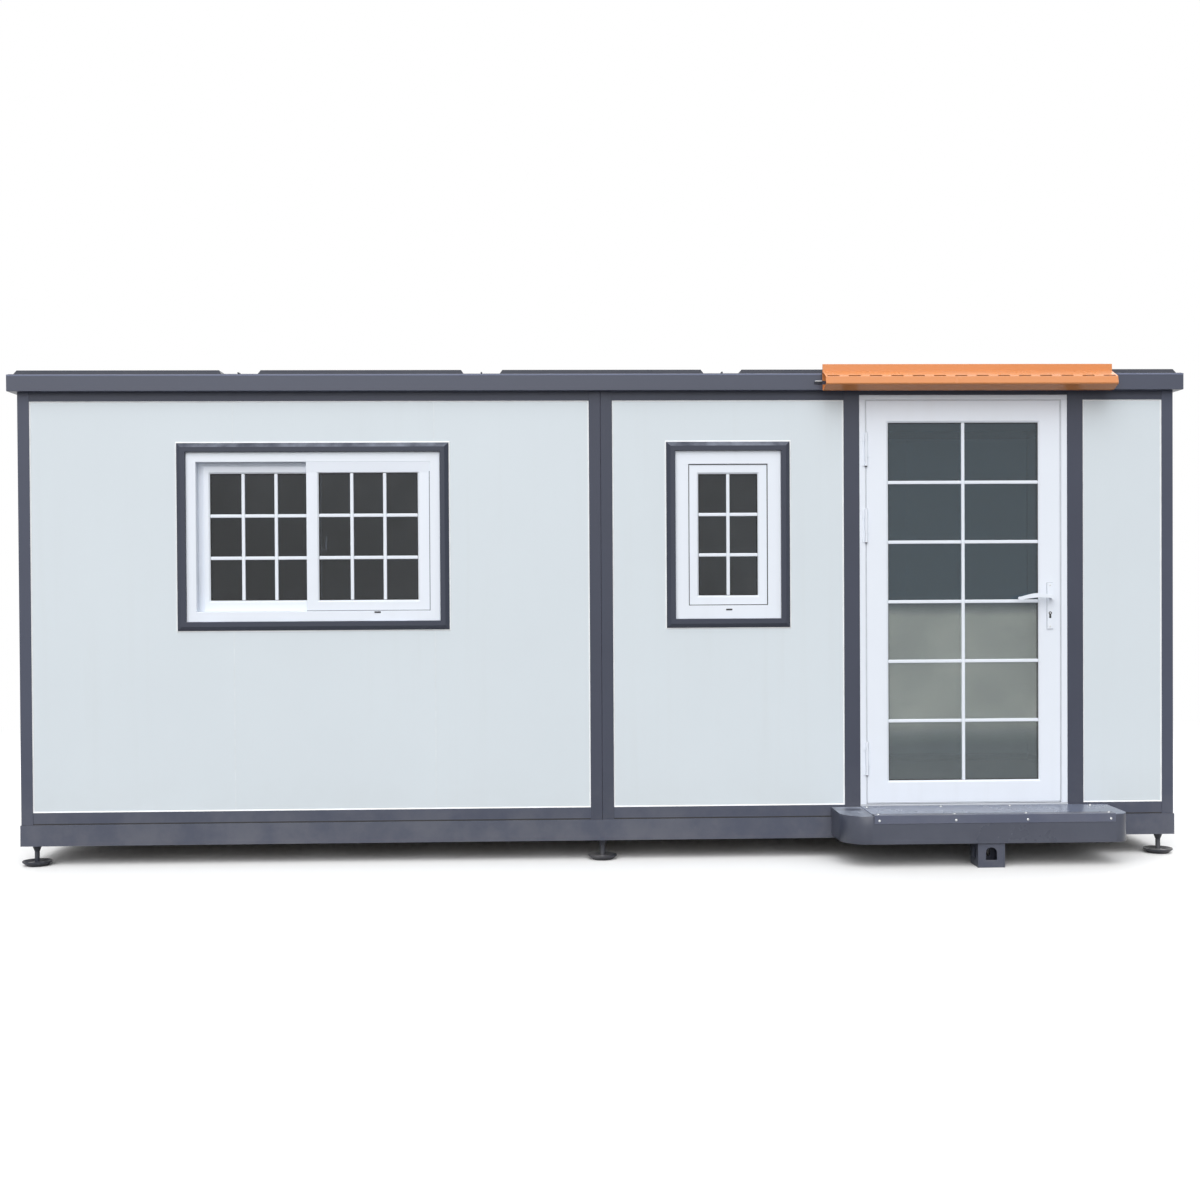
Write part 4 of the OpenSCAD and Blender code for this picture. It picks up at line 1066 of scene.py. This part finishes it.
class CABIN_OT_stage(bpy.types.Operator):
    """Set up the floor, the even light and the camera"""
    bl_idname = "cabin.stage"
    bl_label = "Set the stage"

    FLOOR_HALF, FLOOR_SEEN = 30.0, (0.95, 0.95, 0.95)
    # Distances from the middle at which the floor starts to fade and is white
    FADE_FROM, FADE_BY = 3.6, 8.5
    KEY_FROM, FILL_FROM = (-0.15, -0.80, 0.60), (0.15, 0.70, 0.75)
    SUN_ANGLE = math.radians(65)
    SENSOR_WIDTH, CLIP_END = 36.0, 200.0

    def execute(self, context):
        values = context.scene.cabin_stage
        context.scene.view_settings.view_transform = "Standard"
        self.floor(values.bounce)
        self.sky(context.scene, values.zenith, values.horizon)
        self.lamp("key", self.KEY_FROM, values.key)
        self.lamp("fill", self.FILL_FROM, values.fill)
        self.camera(context.scene, values)
        return {"FINISHED"}

    def floor(self, bounce):
        """A pale floor that keeps the shadow and fades to white around the object."""
        bm = bmesh.new()
        bmesh.ops.create_grid(bm, x_segments=2, y_segments=2, size=self.FLOOR_HALF)
        mesh = bpy.data.meshes.new("floor")
        bm.to_mesh(mesh)
        bm.free()
        tree, shader = new_material("pale_floor", Roughness=0.9)
        seen = seen_rays(tree)
        tone = mix_colour(tree, seen, rgba((bounce, bounce, bounce)), rgba(self.FLOOR_SEEN))
        feed(tree, shader, Base_Color=tone)
        away = add_node(tree, "ShaderNodeVectorMath", {"operation": "LENGTH"}, i0=object_place(tree))
        faded = ramp(tree, away.outputs["Value"], self.FADE_FROM, self.FADE_BY)
        white = add_node(tree, "ShaderNodeEmission")
        mix = add_node(tree, "ShaderNodeMixShader", i0=math_node(tree, "MULTIPLY", faded, seen),
                       i1=shader.outputs[0], i2=white.outputs[0])
        feed(tree, tree.nodes["Material Output"], Surface=mix.outputs[0])
        mesh.materials.append(FINISHES["pale_floor"])
        floor = bpy.data.objects.new("floor", mesh)
        bpy.context.scene.collection.objects.link(floor)

    @staticmethod
    def sky(scene, zenith, horizon):
        """Even light that is stronger from above, and white where it is seen."""
        world = bpy.data.worlds.new("even_sky")
        scene.world = world
        world.use_nodes = True
        tree = world.node_tree
        height = upward(tree, add_node(tree, "ShaderNodeTexCoord").outputs["Generated"])
        level = scaled(tree, ramp(tree, height, start=0.0, end=1.0), zenith - horizon, horizon)
        seen = seen_rays(tree)
        hidden = math_node(tree, "SUBTRACT", 1.0, seen)
        feed(tree, tree.nodes["Background"], Color=(1, 1, 1, 1), Strength=scaled(tree, level, hidden, seen))

    def lamp(self, name, towards, strength):
        """A wide soft sun that shines from a direction."""
        data = bpy.data.lights.new(name, "SUN")
        data.energy = strength
        data.angle = self.SUN_ANGLE
        lamp = bpy.data.objects.new(name, data)
        lamp.rotation_euler = Vector(towards).to_track_quat("Z", "Y").to_euler()
        bpy.context.scene.collection.objects.link(lamp)

    def camera(self, scene, values):
        """The camera at its eye point, turned by its yaw, pitch and roll."""
        data = bpy.data.cameras.new("camera")
        data.sensor_width = self.SENSOR_WIDTH
        data.lens = values.lens
        data.clip_end = self.CLIP_END
        camera = bpy.data.objects.new("camera", data)
        yaw, pitch, roll = values.yaw, values.pitch, values.roll
        ahead = Vector((math.sin(yaw) * math.cos(pitch), math.cos(yaw) * math.cos(pitch), math.sin(pitch)))
        level = Vector((math.cos(yaw), -math.sin(yaw), 0.0))
        upright = level.cross(ahead)
        right = math.cos(roll) * level + math.sin(roll) * upright
        up = math.cos(roll) * upright - math.sin(roll) * level
        turn = Matrix((right, up, -ahead)).transposed().to_4x4()
        camera.matrix_world = Matrix.Translation(values.eye) @ turn
        scene.collection.objects.link(camera)
        scene.camera = camera


OPERATORS = (
    CABIN_OT_finish_frame,
    CABIN_OT_glazing_bars,
    CABIN_OT_gaskets,
    CABIN_OT_sash_seals,
    CABIN_OT_frame_joints,
    CABIN_OT_door_seals,
    CABIN_OT_wall_sealant,
    CABIN_OT_window_fittings,
    CABIN_OT_door_lock,
    CABIN_OT_hinge_caps,
    CABIN_OT_hood_clip,
    CABIN_OT_step_rivets,
    CABIN_OT_stage,
)


class CABIN_PT_panel(bpy.types.Panel):
    """The steps that dress the cabin, with their values"""
    bl_idname = "CABIN_PT_panel"
    bl_label = "Panel cabin"
    bl_space_type = "VIEW_3D"
    bl_region_type = "UI"
    bl_category = "Cabin"

    def draw(self, context):
        for group, kind in VALUE_GROUPS.items():
            values = getattr(context.scene, group)
            box = self.layout.box()
            for key in kind.__annotations__:
                box.prop(values, key)
        for operator in OPERATORS:
            self.layout.operator(operator.bl_idname)


def register():
    for kind in VALUE_GROUPS.values():
        bpy.utils.register_class(kind)
    for group, kind in VALUE_GROUPS.items():
        setattr(bpy.types.Scene, group, PointerProperty(type=kind))
    for kind in (*OPERATORS, CABIN_PT_panel):
        bpy.utils.register_class(kind)


def unregister():
    for kind in (CABIN_PT_panel, *reversed(OPERATORS)):
        bpy.utils.unregister_class(kind)
    for group in VALUE_GROUPS:
        delattr(bpy.types.Scene, group)
    for kind in reversed(list(VALUE_GROUPS.values())):
        bpy.utils.unregister_class(kind)


def main():
    register()
    for operator in OPERATORS:
        family, step = operator.bl_idname.split(".")
        getattr(getattr(bpy.ops, family), step)()


if __name__ == "__main__":
    main()
